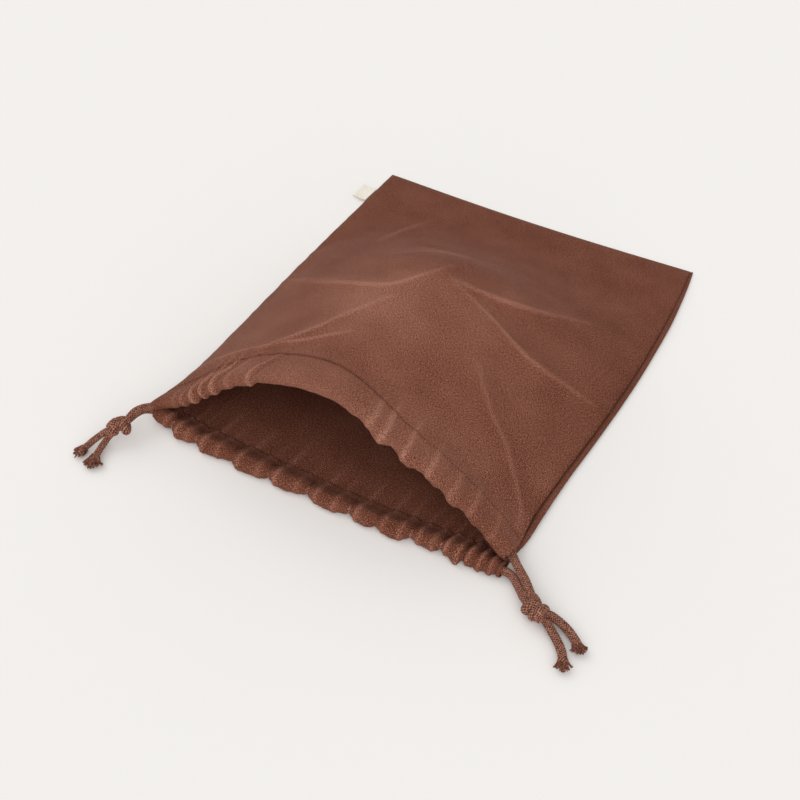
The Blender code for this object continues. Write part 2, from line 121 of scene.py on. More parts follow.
# The pressed lines along the tops of those folds: narrow, with a painted highlight along each for its
# sheen, so paler than the cloth.
Pinch = namedtuple("Pinch", "line height width wear")
PINCHES = [Pinch(*row) for row in (
    ([(-133, -11), (-92, -34), (-64, -43), (-42, -46), (-23, -45), (-10, -33), (1, -17), (7, -4)],
     0.75, 2.1, 0.42),
    ([(-139, -137), (-128, -130), (-109, -127), (-87, -126), (-71, -124), (-49, -103), (-34, -80),
      (-15, -56)], 0.75, 2.1, 0.48),
    ([(-72, -124), (-44, -114), (-22, -98)], 0.5, 1.8, 0.5),
    ([(14, -17), (33, -11), (50, -2), (70, 15), (97, 47)], 0.6, 2.2, 0.5),
    ([(16, -19), (44, -24), (70, -30), (91, -30), (131, -19)], 0.6, 2, 0.45),
    ([(58, -65), (80, -87), (100, -101), (124, -128), (130, -145)], 0.5, 2, 0.35),
    ([(-90, 52), (-85, 91), (-75, 122)], 0.3, 2.6, 0.3),
    ([(-44, 8), (-16, 22), (16, 26)], 0.3, 4, 0.3),
)]
# Patches of painted light, painted a little paler where more light falls on the crest and the front:
# along the bag and across it, how wide and how much.
LitPatch = namedtuple("LitPatch", "x y reach_x reach_y wear")
LIT_PATCHES = [LitPatch(10, -110, 170, 110, 0.22), LitPatch(-18, -58, 44, 38, 0.36), LitPatch(-10, -155, 80, 18, 0.22),
        LitPatch(80, -150, 50, 22, 0.14), LitPatch(-95, -80, 44, 50, 0.02), LitPatch(60, -20, 40, 60, 0.14)]
PINCH_SHOULDER = 3.2  # how much wider the soft foot of a pressed line is
PINCH_STEEP = 0.65  # share of its height in the narrow part
PINCH_SWELL = 0.5  # as FOLD_SWELL
PINCH_FADES = (6, 5)  # how far past the casing's first row and in from a seam they fade

# The two casings are gathered on their cords, and puff out between the gathers.
Puff = namedtuple("Puff", "x width depth")
FRONT_PUFFS = [Puff(*row) for row in (
    (-128, 9, 0.8), (-111, 6, 1.8), (-103, 3, -0.5), (-96, 5, 2.4), (-85, 6, 1.2), (-76, 4, -0.5),
    (-66, 9, 1.8), (-40, 10, 1), (-12, 12, 0.9), (16, 9, 1.2), (28, 4, -0.5), (37, 6, 2.8),
    (48, 3, -0.7), (60, 6, 3.4), (71, 3, -0.8), (80, 5, 2), (94, 5, 3), (103, 3, -0.8), (110, 4, 1.8),
    (119, 4, 0.4), (129, 7, 3.6),
)]
BACK_PUFFS = [Puff(*row) for row in (
    (-134, 5, 1.6), (-124, 3, -0.7), (-113, 6, 2.6), (-101, 3, -0.6), (-88, 8, 3), (-70, 4, -0.6),
    (-56, 9, 2.4), (-38, 3, -0.7), (-24, 7, 3), (-8, 4, -0.6), (8, 8, 2.4), (26, 3, -0.7), (38, 6, 2.8),
    (58, 7, 4), (72, 3, -0.8), (83, 6, 1.8), (94, 2.2, -0.9), (103, 4, 3.2), (110, 2, -0.8),
    (116, 3, 1.8), (124, 3, 1.6), (132, 3, 1.2),
)]

# A casing's section: how far each layer lies behind the middle of the cord, and how high above it.
FRONT_OUTER = [(CASING_TAIL, 1.7), (10.5, 2.7), (6.2, 3.5)]
FRONT_HEM = [(6.2, -3.5), (10.5, -2.7), (14.6, -2)]
BACK_OUTER = [(CASING_TAIL, -4), (10.5, -4), (5.5, -4)]
BACK_HEM = [(5.6, 2), (10, -1.3), (14.6, -2.6)]
ROUND_ANGLES = (110, 72, 36, 0, -36, -72, -110)
SQUARE_REACH = 3  # behind the cord's middle, how far layers lie square to the cord
STRAIGHT_REACH = 10  # and from where they lie straight behind it
LEAST_PUFF = 0.3  # share of a puff that shows above and below the fold
FRONT_FLARE = (-0.8, 1)  # how much wider the front casing's left and right ends open
BACK_FLARE = (-0.6, 0)
FLARE_REACH = 6  # how far in that dies out
END_REACH = 9  # how far in from its ends a casing lies straight behind its cord
FRONT_END_RISE = (-2, -6)  # how far a casing's stitch line rises at its left and right ends, or
BACK_END_RISE = (3.4, 0)  # sinks where this is below zero

# The cords' routes, from the left knot to the right one, and which of their points the casing holds.
FRONT_CORD = [
    (-147.2, -196, 15.2), (-145.8, -189.5, 17.8), (-144, -183, 17), (-140.4, -176.4, 14.8),
    (-136.4, -170.2, 14), (-128, -166, 16.5), (-118, -164.6, 23), (-104, -163, 36),
    (-90, -161, 47.5), (-74, -159, 58.5), (-56, -157.5, 68.5), (-36, -156, 75.5), (-14, -155, 79.2),
    (6, -155, 78.4), (22, -156, 72.5), (37, -158, 64), (52, -159, 56.5), (66, -160, 51),
    (79, -161, 45.5), (90, -162, 39.5), (101, -163, 33.5), (112, -164, 26), (122, -164.8, 18),
    (130, -165.2, 13.2), (136.4, -167.6, 11), (143.2, -173.6, 10.2), (149.6, -178.7, 10),
    (155.2, -184, 9.6), (160.4, -189.8, 8.8),
]
FRONT_CASING = (3, 24)
BACK_CORD = [
    (-149, -193, 11.2), (-147.2, -186.2, 12.4), (-145.2, -179.8, 11.4), (-140.8, -174.8, 8.2),
    (-133, -174.8, 6.4), (-120, -176.8, 5), (-104, -178.6, 4.6), (-80, -179.6, 4.6), (-50, -181, 4.6),
    (-20, -180.6, 4.6), (10, -181.4, 4.6), (40, -180.8, 4.6), (64, -179.2, 4.6), (86, -177.8, 4.6),
    (104, -177.4, 4.6), (122, -177.2, 4.6), (134.5, -176.6, 4.8), (141.6, -178, 5.2),
    (147, -182.4, 6), (151.8, -187.2, 6.8), (156.8, -191.6, 7.4),
]
BACK_CASING = (3, 16)

# The cords' ends behind the knots, from the knot outward, and the knots themselves.
TAIL_LEFT_1 = [(-156.4, -207.6, 10), (-159.6, -212.4, 7.9), (-162.2, -217.4, 5.9),
               (-164, -222.6, 4.2), (-165, -226.6, 3.6)]
TAIL_LEFT_2 = [(-153, -209.2, 8.8), (-153.6, -214.4, 6.5), (-153.8, -219.6, 4.8),
               (-153.2, -224.6, 3.8), (-152, -228.6, 3.6)]
TAIL_RIGHT_1 = [(173.6, -198.4, 5.6), (179.6, -202.6, 4.7), (185, -206.8, 4),
                (189.6, -211.2, 3.6), (192.6, -215.6, 3.6), (194.4, -219.4, 3.6)]
TAIL_RIGHT_2 = [(174.4, -193.6, 5.8), (180.2, -194.4, 5.2), (185.6, -196, 4.6),
                (190.6, -198.4, 4), (195, -201.4, 3.6), (197.8, -204.2, 3.6)]
Knot = namedtuple("Knot", "centre size heading tilt side")
KNOT_LEFT = Knot((-149.6, -201, 12), (17, 10.8, 9.8), -152, 8, 1)
KNOT_RIGHT = Knot((164.8, -195, 7.2), (19.5, 13.2, 11.5), -24, 3, -1)
KNOT_REACH = 0.64  # how far out the middle of its strands lies, as a share of its half size
KNOT_BURIED = 0.25  # and the same at a strand's ends
KNOT_SINK = 5  # they sink in over one part in this many of the strand
KNOT_RADII = (2.5, 2.9, 3.1, 2.9, 2.5)
# Its two turns, each from one angle and place along it to another, and the strand that crosses over them,
# along, across and up. Places are shares of its half size.
KNOT_TURNS = [(-150, 280, 0.62, 0.22), (30, 440, -0.18, -0.6)]
KNOT_TURN_STEPS = 20
KNOT_CROSS = [(0.9, 0.5, 0.3), (0.4, 0.2, 0.9), (-0.3, -0.3, 0.85), (-0.9, -0.55, 0.2)]

# A cord's radius without its braid, at even places from its left end to its right one.
CORD_RADII = (2.1, 2.2, 2.6) + 10 * (2.65,)

# The braid of a cord: strands each way round it, the length of one turn, and how deep they lie.
STRANDS = 8
BRAID_TURN = 14
BRAID_DEPTH = 0.58
BRAID_ROUND = 36  # steps round a cord
BRAID_STEP = 0.55  # length of one step along a cord
BRAID_OVER = 0.8  # how much a strand rises where it passes over another
BRAID_END, BRAID_TIP = 1.2, 0.06  # length over which a cut end rounds off, and how far
BRAID_PALE = 1.6  # the braid is painted darkest in its hollows and palest on its strands' tops over this many times its depth: painted shade and painted highlight

# The frayed ends, each with its length and width: loose yarns that spread beyond the cord's cut.
FRAYS = [("fray_left_1", TAIL_LEFT_1, 6.5, 5), ("fray_left_2", TAIL_LEFT_2, 9, 6.5),
         ("fray_right_1", TAIL_RIGHT_1, 6, 5), ("fray_right_2", TAIL_RIGHT_2, 6, 4.6)]
FRAY_YARNS = 54
FRAY_YARN = 0.50  # radius of a yarn
FRAY_UNEVEN = (0.75, 1.15)  # and how much it may differ
FRAY_SHORTEST = 0.35  # the shortest yarn, as a share of the longest
FRAY_START = 4  # how far back along the cord they begin
FRAY_ROOT, FRAY_CUT = (2.1, 2), (2.4, 1.8)  # how far sideways and up they lie there and at the cut
FRAY_FAN = 0.2  # share of its width that a frayed end has at the cut
FRAY_RISE = 1.1  # how far up and down the tips lie
FRAY_BEND, FRAY_CURL = 1.6, 0.8  # how far a tip bends sideways, and the length that curls
FRAY_HEIGHT = 0.55  # they are as pale as a braid at this height
FRAY_POINTED = 0.6  # how much shorter the yarns at its sides are

# The back panel from the closed end to its casing. Outside the right seam line it makes a welt: out and
# up are measured from the seam line, and welt is how much of it stands up in each row.
BackRow = namedtuple("BackRow", "steps y bow left_x right_x left_lift right_lift welt")
BACK_ROWS = [BackRow(*row) for row in (
    (6, 167, 4, -139, 138.6, 0, 0, 0.3),
    (6, 148, 2.5, -139.6, 140.2, 0, 0, 0.6),
    (6, 124, 1, -140.5, 141.8, 0, 0, 0.8),
    (6, 95, 0, -141.2, 143, 0, 0, 1),
    (6, 60, 0, -142.2, 143.3, 0, 0, 1),
    (6, 30, 0, -143, 143, 0, 0, 1),
    (12, 0, 0, -143.5, 141.8, 0, 0, 1),
    (12, -40, 0, -143.5, 139.3, 0.3, 0.1, 1),
    (18, -85, 0, -143, 135.5, 1.5, 0.4, 1.1),
    (6, -122, 0, -141.5, 133.4, 4.9, 0.7, 1.3),
    (6, -146, 0, -140.6, 132.8, 9.4, 0.3, 1.25),
)]
LIFT_REACH = 24  # how far in from a seam its lift dies out
WELT = [(1, 0.4), (1.8, 1.9), (2.6, 2.4), (3.4, 1.9), (4, 0.6)]  # out and up
WELT_STEPS = 3  # columns of the sheet for each point of the welt
WELT_STRETCH = 5  # length of cloth at the right end of the casing that the welt runs into

# The label: a folded strip of tape that stands out of the left seam.
LABEL_START, LABEL_END = 122, 140  # along the seam
LABEL_LENGTH = 11  # out of the seam
LABEL_CURL = 2.6  # how far its free end rises
LABEL_SKEW = -3  # how far its free end leans to the mouth
LABEL_STEPS = 24
LABEL_TAPE = 0.3  # thickness of one layer of tape
LABEL_OPEN = 0.45  # half the height of its folded end
LABEL_SHUT = (0.4, 4)  # share of that height in the seam, and how fast it opens
LABEL_CUP = 0.5  # how far its corners curl up
LABEL_TURN_STEPS = 8

# Materials. A grain is a noise: its hills for each millimetre along X, Y and Z, detail, roughness, and
# its weight. A weave is rows of yarn: their direction, pitch and weight. Stops are colours along the sum.
LINEN_GRAINS = [((1.8, 1.8, 1), 1, 0.9, 0.50), ((0.6, 2.4, 1), 2, 0.8, 0.27),
                ((2.4, 0.6, 1), 2, 0.8, 0.27), ((0.03, 0.03, 1), 3, 0.5, 0.06)]
LINEN_FUZZ = [((1.4, 1.4, 1), 2, 0.5, 0.5)]
LINEN_WEAVE = [("X", 0.75, 0.4), ("Y", 0.75, 0.4)]
LINEN_STOPS = [(0.490, (0.048, 0.0110, 0.0047)), (0.556, (0.136, 0.0365, 0.0165)),
               (0.606, (0.235, 0.083, 0.049)), (0.674, (0.430, 0.216, 0.156))]
LINEN_PAINTED_LIGHT, CORD_PAINTED_LIGHT = 0.10, 0.30  # how far the painted light (painted highlights and painted shade) moves a colour towards its palest
CORD_GRAINS = [((1.1, 1.1, 1.1), 3, 0.8, 0.55), ((0.5, 0.5, 0.5), 2, 0.5, 0.20)]
CORD_FUZZ = [((2.6, 2.6, 2.6), 2, 0.5, 0.7), ((0.9, 0.9, 0.9), 2, 0.5, 0.3)]
CORD_STOPS = [(0.44, (0.034, 0.009, 0.005)), (0.54, (0.142, 0.048, 0.027)), (0.64, (0.450, 0.220, 0.160))]
TAPE_GRAINS = [((1.2, 1.2, 1.2), 2, 0.5, 0.6), ((0.2, 0.2, 0.2), 2, 0.5, 0.4)]
TAPE_WEAVE = [("Y", 0.35, 0.5), ("X", 0.5, 0.3)]
TAPE_STOPS = [(0.35, (0.80, 0.74, 0.63)), (0.65, (0.92, 0.88, 0.79))]
THREAD_GRAINS, THREAD_FUZZ = [((1.4, 1.4, 1.4), 2, 0.5, 1)], [((3, 3, 3), 1, 0.5, 1)]
THREAD_STOPS = [(0.35, (0.070, 0.024, 0.014)), (0.65, (0.130, 0.048, 0.030))]
YARN_WAVES = 2 * math.pi / 20  # a wave texture's scale for one band in each millimetre
YARN_WANDER, YARN_WANDER_SIZE = 1.1, 0.6
# How a textile takes light: strength and height of its bump, its sheen's weight and tint, its roughness.
Finish = namedtuple("Finish", "strength height sheen tint roughness")
LINEN_FINISH = Finish(0.5, 0.3, 0.07, (1, 0.50, 0.35), 0.9)
CORD_FINISH = Finish(0.5, 0.3, 0.10, (0.80, 0.42, 0.30), 0.92)
TAPE_FINISH = Finish(0.35, 0.1, 0.1, (0.9, 0.88, 0.84), 0.75)
THREAD_FINISH = Finish(0.3, 0.1, 0.05, (0.7, 0.5, 0.4), 0.8)
SHEEN_ROUGHNESS, SPECULAR = 0.45, 0.2
FLOOR_COLOUR = (0.86, 0.845, 0.825)
FLOOR_HALF = 4  # metres

# Light: two wide soft suns, from the bag's left and from its front, and the surround.
Sun = namedtuple("Sun", "name place width strength")
SUNS = [Sun("window", (-0.75, 0.20, 0.60), 60, 0.85), Sun("reflector", (0.35, -0.70, 0.60), 80, 1.5)]
SURROUND_COLOUR = (1, 0.985, 0.97)
SURROUND_STRENGTH = 0.59

# Small wrinkles, all seeded so that each run makes the same ones.
SEED, PUCKER_SEED, BACK_SEED, FRAY_SEED = 7, 20, 40, 60
NOISE_CELLS, NOISE_SHIFT = 97, 40  # size of the table of random heights, and its start
Crease = namedtuple("Crease", "x lean back width depth")
FRONT_CREASES = [Crease(*row) for row in (
    (-127, 3, 8, 1.8, 0.7), (-119.5, 4, 12, 1.6, 1.1), (-115, 4, 12, 1.6, -0.9), (-110, 6, 18, 1.6, 2),
    (-106, 6, 16, 1.7, -1.3), (-102, 6, 20, 1.6, 2.2), (-97.5, 5, 18, 1.7, -1.3),
    (-92.5, 5, 22, 1.7, 2), (-87.5, 4, 18, 1.8, -1), (-81.5, 6, 18, 1.7, 1), (-64, 9, 20, 1.7, 1.5),
    (-59, 8, 18, 2.2, -1), (-40, 3, 6, 3, -0.4), (-12, 1, 6, 3, -0.4), (12, 2, 16, 1.6, -0.5),
    (22, -2, 12, 2.4, -0.8), (29, -3, 14, 2, 1.1), (40, -6, 18, 2, 1.5), (47, -4, 14, 2, -1.3),
    (56, -6, 18, 2, 1.4), (65, -4, 14, 2, -1.2), (74, -5, 16, 2, 1.2), (84, -4, 12, 2, -1.2),
    (91, -4, 14, 1.8, 1), (99, -5, 14, 1.7, -1.2), (105, -4, 14, 1.7, 1), (113, -4, 12, 1.7, -0.9),
    (121, -4, 10, 1.6, 0.7), (129, -3, 8, 1.6, -0.6),
)]
BACK_CREASES = [Crease(*row) for row in (
    (-129, 3, 20, 1.8, 1.2), (-124, 3, 22, 1.6, -1.6), (-117, 4, 24, 1.8, 1.4), (-108, 3, 26, 2, 1),
    (-101, 2, 22, 1.5, -1.7), (-94, 4, 32, 2, 1.5), (-81, 2, 24, 2.4, 1), (-70, 3, 26, 1.7, -1.6),
    (-63, 3, 30, 2.2, 1.3), (-47, 2, 24, 2.4, 0.9), (-38, -2, 30, 1.6, -1.7), (-31, -2, 34, 2, 1.5),
    (-16, 2, 24, 2.2, 0.9), (-8, 1, 26, 1.7, -1.6), (0, 1, 30, 2.2, 1.2), (16, -3, 28, 2.2, 1.2),
    (26, -2, 24, 1.5, -1.7), (33, -3, 30, 1.8, 1.5), (47, -4, 26, 1.5, -1.4), (53, -4, 30, 2, 1.2),
    (65, -4, 30, 1.8, 1.4), (72, -4, 24, 1.4, -1.8), (78, -4, 28, 1.6, 1.4), (88, -4, 26, 1.6, 1.2),
    (94, -5, 26, 1.3, -2), (98, -5, 30, 1.4, 1.8), (106, -4, 24, 1.3, 1.4), (110, -5, 22, 1.2, -1.8),
    (114, -5, 24, 1.3, 1.8), (118.5, -5, 20, 1.1, -1.6), (122, -5, 22, 1.2, 1.8),
    (126, -5, 18, 1, -1.6), (129.5, -5, 18, 1.1, 1.6), (133, -4, 14, 1, -1.4),
)]
CREASE_SKEW = 0.7  # below 1, a crease is deepest nearer its start
FRONT_CREASE_START, BACK_CREASE_START = 34, 62  # how far round the fold a crease begins
UNEVENNESS = [(62, 1, 1), (27, 0.40, 2), (11, 0.14, 3), (5, 0.05, 4)]  # size, height, seed
UNEVEN_FADES = (6, 8)  # it fades this near a seam and the closed end
BACK_UNEVEN_FADE = 12
LOW_REACH = 2  # steps over which the inside keeps to the lowest height near it
SEAM_PUCKER, SEAM_PUCKER_PITCH, SEAM_PUCKER_REACH = 0.28, 6, 7
FOLD_TURN = 4  # length over which the cloth's inner side comes round a casing's fold
CREASE_HIGHLIGHT = 0.35  # how much paler a crease 1 mm high is painted on its top: a painted highlight
SEAM_ROLL, SEAM_ROLL_REACH = 0.75, 1.8  # how far the sewn edges turn down, and how far in
SEAM_FADE = 20  # puckers and turned edges fade this near the casing
# The stitch line's groove: how deep and wide it is, and how much darker it is painted, as painted shade
# in the groove.
STITCH_GROOVE, STITCH_GROOVE_WIDTH, STITCH_SHADE = 0.55, 1.1, 0.45
# Where the front casing's stitches run: across the bag, how far behind its first row, how deep drawn in.
STITCH_PLACES = [(-142, 2, 0.3), (-110, 7, 0.3), (-60, 11, 1), (-10, 8, 1), (30, 4, 0.7), (60, 2.4, 0.25),
                 (136, 0.5, 0.2)]
HEM_UNDER = 1.5  # how far the hem lies under the cloth it is stitched to
HEM_STEPS = 6
HEM_EDGE = 2  # rows from the back hem's end to its stitches
STITCH_PITCH, STITCH_LENGTH, STITCH_THICK = 2.4, 1.5, 0.32
STITCH_LIFT = (-0.25, 0.08, 0.14, 0.08, -0.25)  # height of a stitch's middle, from end to end
THIN_SIDES = 6  # sides of a stitch or yarn
THIN_TAPER, THIN_TIP = 8, 0.25  # each end tapers over an eighth of its length, to a quarter


def metres(points):
    """Points of the bag's own plan, in the model's frame."""
    return (np.asarray(points, float) - np.array([*ORIGIN, 0])) * MM


def smooth_curve(points, steps):
    """A Catmull-Rom curve through rows of numbers, with a number of steps, or one for each stretch."""
    knots = np.array(points, float)
    stretches = len(knots) - 1
    counts = [steps] * stretches if isinstance(steps, int) else list(steps)
    padded = np.vstack([2 * knots[0] - knots[1], knots, 2 * knots[-1] - knots[-2]])
    curve = []
    for index, count in enumerate(counts):
        p0, p1, p2, p3 = padded[index:index + 4]
        for t in np.arange(count) / count:
            curve.append(0.5 * (2 * p1 + (p2 - p0) * t + (2 * p0 - 5 * p1 + 4 * p2 - p3) * t ** 2
                                + (3 * p1 - p0 - 3 * p2 + p3) * t ** 3))
    curve.append(knots[-1])
    return np.array(curve)


def smooth_rows(rows, steps):
    """The same through whole rows of points."""
    return smooth_curve(rows.reshape(len(rows), -1), steps).reshape(-1, *rows.shape[1:])


def places_along(curve):
    """Length along the curve at each of its points, whose first three numbers are x, y and z."""
    return np.concatenate([[0], np.cumsum(np.linalg.norm(np.diff(curve[:, :3], axis=0), axis=1))])


def points_at(curve, places):
    """Points of the curve at the given lengths along it."""
    lengths = places_along(curve)
    return np.stack([np.interp(places, lengths, column) for column in curve.T], axis=1)


def unit(vectors):
    """The same directions at length 1."""
    return vectors / np.maximum(np.linalg.norm(vectors, axis=-1, keepdims=True), 1e-12)


def bell(distance, width):
    """1 at no distance, falling off smoothly to nothing over about two widths."""
    return np.exp(-(distance / width) ** 2)


def fade(distance, length):
    """0 at no distance, rising evenly to 1 over a length."""
    return np.clip(distance / length, 0, 1)


def add_object(name, data):
    """A new object in the scene."""
    obj = bpy.data.objects.new(name, data)
    bpy.context.scene.collection.objects.link(obj)
    return obj


def aim(obj, direction):
    """Turns a camera or lamp to look along a direction."""
    obj.rotation_euler = direction.to_track_quat("-Z", "Y").to_euler()


def camera():
    """The photo's view."""
    lens = bpy.data.cameras.new("camera")
    lens.lens = CAMERA_LENS
    lens.sensor_width = CAMERA_SENSOR
    eye = add_object("camera", lens)
    eye.location = CAMERA_PLACE
    aim(eye, Vector(CAMERA_AIM) - Vector(CAMERA_PLACE))
    bpy.context.scene.camera = eye


def add_mesh(name, points, faces, material, uvs=None, painted_lightness=None):
    """A smooth mesh from points in metres, with its material and each point's UV and painted light."""
    mesh = bpy.data.meshes.new(name)
    mesh.from_pydata([tuple(point) for point in points], [], faces)
    if uvs is not None:
        faces_out(mesh)
    mesh.shade_smooth()
    mesh.materials.append(material)
    if painted_lightness is not None:
        mesh.attributes.new("wear", "FLOAT", "POINT").data.foreach_set("value", painted_lightness)
    if uvs is not None:
        layer = mesh.uv_layers.new(name="cloth")
        corners = np.zeros(len(mesh.loops), int)
        mesh.loops.foreach_get("vertex_index", corners)
        layer.data.foreach_set("uv", np.asarray(uvs, float)[corners].ravel())
    return add_object(name, mesh)


def faces_out(mesh):
    """Turns the faces of a closed mesh outward."""
    made = bmesh.new()
    made.from_mesh(mesh)
    bmesh.ops.recalc_face_normals(made, faces=made.faces)
    made.to_mesh(mesh)
    made.free()


def grid_faces(rows, columns, closed=False):
    """Faces of a grid of points, row after row; closed joins its last column to its first."""
    faces = []
    for row in range(rows - 1):
        for column in range(columns if closed else columns - 1):
            right = (column + 1) % columns
            a, b = row * columns + column, row * columns + right
            faces.append((a, b, b + columns, a + columns))
    return faces


def frames_along(points):
    """Directions along, across and up at each point of a curve, turning as little as possible."""
    along = unit(np.gradient(points, axis=0))
    up = [np.array([0.0, 0.0, 1.0])]
    for direction in along:
        up.append(unit(up[-1] - direction * (up[-1] @ direction)))
    up = np.array(up[1:])
    return along, np.cross(up, along), up


def ring_angles(sides):
    """Even angles round a ring."""
    return np.arange(sides) * 2 * math.pi / sides


def rings_round(points, reach):
    """Rings of points round a curve; reach says how far out each point of each ring lies."""
    _, across, up = frames_along(points)
    angles = ring_angles(reach.shape[1])[:, None]
    outward = across[:, None] * np.cos(angles) + up[:, None] * np.sin(angles)
    return points[:, None] + outward * reach[..., None]


def braid_height(place, angle):
    """How high a braid's strands stand, from -1 to 1, at places along it and angles round it."""
    turn = place / BRAID_TURN
    left = STRANDS * (angle / (2 * math.pi) - turn)
    right = STRANDS * (angle / (2 * math.pi) + turn)
    over_left = np.where(np.floor(left) % 2 == 0, 1, -1) * np.sin(math.pi * right)
    over_right = -np.where(np.floor(right) % 2 == 0, 1, -1) * np.sin(math.pi * left)
    round_left = np.sin(math.pi * (left % 1))
    round_right = np.sin(math.pi * (right % 1))
    return np.maximum(round_left + BRAID_OVER * over_left, round_right + BRAID_OVER * over_right) - 1


def braided_tube(name, route, radii, material):
    """A braided cord along a smooth curve through its route, closed at both ends."""
    fine = smooth_curve(route, FINE)
    whole = places_along(fine)[-1]
    places = np.linspace(0, whole, round(whole / BRAID_STEP) + 1)
    points = points_at(fine, places)
    radius = np.interp(places / whole, np.linspace(0, 1, len(radii)), radii)
    relief = BRAID_DEPTH * braid_height(places[:, None], ring_angles(BRAID_ROUND))
    narrow = np.sqrt(np.clip(np.minimum(places, whole - places) / BRAID_END, BRAID_TIP, 1))
    rings = rings_round(points, (radius[:, None] + relief) * narrow[:, None])
    verts = np.vstack([rings.reshape(-1, 3), points[0], points[-1]])
    faces = grid_faces(len(places), BRAID_ROUND, closed=True)
    first, last = len(verts) - 2, len(verts) - 1
    tail = first - BRAID_ROUND
    for step in range(BRAID_ROUND):
        after = (step + 1) % BRAID_ROUND
        faces.append((first, after, step))
        faces.append((last, tail + step, tail + after))
    # painted highlight on the strands' tops and painted shade in the hollows between them
    pale = np.clip(0.5 + relief / BRAID_DEPTH / BRAID_PALE, 0, 1)
    return add_mesh(name, metres(verts), faces, material, painted_lightness=np.append(pale.ravel(), [0.5, 0.5]))


def join(name, objects):
    """One object from several meshes."""
    bpy.ops.object.select_all(action="DESELECT")
    for obj in objects:
        obj.select_set(True)
    bpy.context.view_layer.objects.active = objects[0]
    bpy.ops.object.join()
    objects[0].name = name
    objects[0].data.name = name
    return objects[0]


def knot_place(knot, along, across, up):
    """A point of the knot, each number a share of its half size."""
    heading, tilt = math.radians(knot.heading), math.radians(knot.tilt)
    forward = np.array([math.cos(heading) * math.cos(tilt), math.sin(heading) * math.cos(tilt),
                        -math.sin(tilt)])
    sideways = np.array([-math.sin(heading), math.cos(heading), 0])
    axes = np.array([forward, sideways, np.cross(forward, sideways)])
    return knot.centre + (np.array([along, across, up]) * knot.size / 2) @ axes


def knot_turn(knot, start, end, first, last):
    """A strand that goes round the knot's cords from one angle to another, moving along them."""
    turn = []
    for t in np.linspace(0, 1, KNOT_TURN_STEPS + 1):
        angle = math.radians(start + (end - start) * t)
        sunk = min(1, KNOT_SINK * t, KNOT_SINK * (1 - t))
        reach = KNOT_BURIED + (KNOT_REACH - KNOT_BURIED) * sunk
        along = first + (last - first) * t
        turn.append(knot_place(knot, along, reach * math.cos(angle), reach * math.sin(angle)))
    return turn


def knot_piece(name, knot, material):
    """A tight overhand knot of both cords: two turns round them and the strand that crosses over."""
    routes = [knot_turn(knot, *turn) for turn in KNOT_TURNS]
    routes.append([knot_place(knot, along, knot.side * across, up) for along, across, up in KNOT_CROSS])
    return join(name, [braided_tube("strand", route, KNOT_RADII, material) for route in routes])


def fray(name, route, spread, flat, material, seed):
    """The loose yarns at a cord's end, spreading over the surface that they lie on."""
    random = np.random.default_rng(seed)
    fine = smooth_curve(route, FINE)
    whole = places_along(fine)[-1]
    base, tip = points_at(fine, [whole - FRAY_START, whole])
    along, across, up = (rows[-1] for rows in frames_along(fine))
    yarns = []
    for _ in range(FRAY_YARNS):
        side, rise = random.uniform(-1, 1), random.uniform(-1, 1)
        length = random.uniform(FRAY_SHORTEST, 1) * spread * (1 - FRAY_POINTED * abs(side))
        bend = across * random.uniform(-0.5, 0.5) * FRAY_BEND
        start = base + across * side * FRAY_ROOT[0] + up * rise * FRAY_ROOT[1]
        middle = tip + across * side * (FRAY_CUT[0] + FRAY_FAN * flat) + up * rise * FRAY_CUT[1]
        end = tip + along * length + across * side * flat + bend + up * rise * FRAY_RISE
        points = smooth_curve([start, middle, end, end + along * FRAY_CURL + bend], 3)
        points[:, 2] = np.maximum(points[:, 2], FRAY_YARN)
        yarns.append(thin_tube(points, FRAY_YARN * random.uniform(*FRAY_UNEVEN)))
    return add_tubes(name, yarns, material, FRAY_HEIGHT)


def thin_tube(points, radius):
    """Points and faces of a plain round tube that narrows to its ends."""
    share = np.linspace(0, 1, len(points))
    reach = radius * np.clip(np.minimum(share, 1 - share) * THIN_TAPER, THIN_TIP, 1)
    rings = rings_round(points, np.tile(reach[:, None], THIN_SIDES))
    faces = grid_faces(len(points), THIN_SIDES, closed=True)
    faces.append(tuple(range(THIN_SIDES - 1, -1, -1)))
    faces.append(tuple((len(points) - 1) * THIN_SIDES + side for side in range(THIN_SIDES)))
    return rings.reshape(-1, 3), faces


def add_tubes(name, tubes, material, height=0):
    """One mesh of several tubes, all with the painted light of a braid at the given height."""
    verts, faces = [], []
    for points, tube_faces in tubes:
        start = len(verts)
        verts += list(metres(points))
        faces += [tuple(start + index for index in face) for face in tube_faces]
    return add_mesh(name, verts, faces, material, painted_lightness=np.full(len(verts), float(height)))


def casing_axis(route, casing):
    """The middle of the cord where its casing holds it, each point with the cord's direction there."""
    first, last = casing
    curve = smooth_curve(route, FINE)
    axis = np.hstack([curve, unit(np.gradient(curve, axis=0))])
    return axis[first * FINE:last * FINE + 1]


def bowed(row, x):
    """Where a row lies along the bag: its middle may bow towards the mouth."""
    across = (x - row.left_x) / (row.right_x - row.left_x)
    return row.y - row.bow * np.sin(np.pi * across)


def section_curve(section):
    """One section of the front panel, as even points from the left seam to the right."""
    x = np.linspace(section.left_x, section.right_x, SECTION_POINTS)
    on_left = x < section.crest_x
    reach = np.where(on_left, section.crest_x - section.left_x, section.right_x - section.crest_x)
    away = np.abs(x - section.crest_x) / reach
    edge = SEAM_HEIGHT + np.where(on_left, section.left_lift, section.right_lift)
    full = np.where(on_left, section.left_full, section.right_full)
    rounded = np.sqrt(away ** 2 + CROWN ** 2) - CROWN * (1 - away)
    fall = np.clip(rounded, 0, 1) ** full
    z = edge + np.maximum(section.crest_z - edge, 0) * (1 - fall)
    curve = np.stack([x, bowed(section, x), z], axis=1)
    return points_at(curve, np.linspace(0, places_along(curve)[-1], FRONT_COLUMNS + 1))


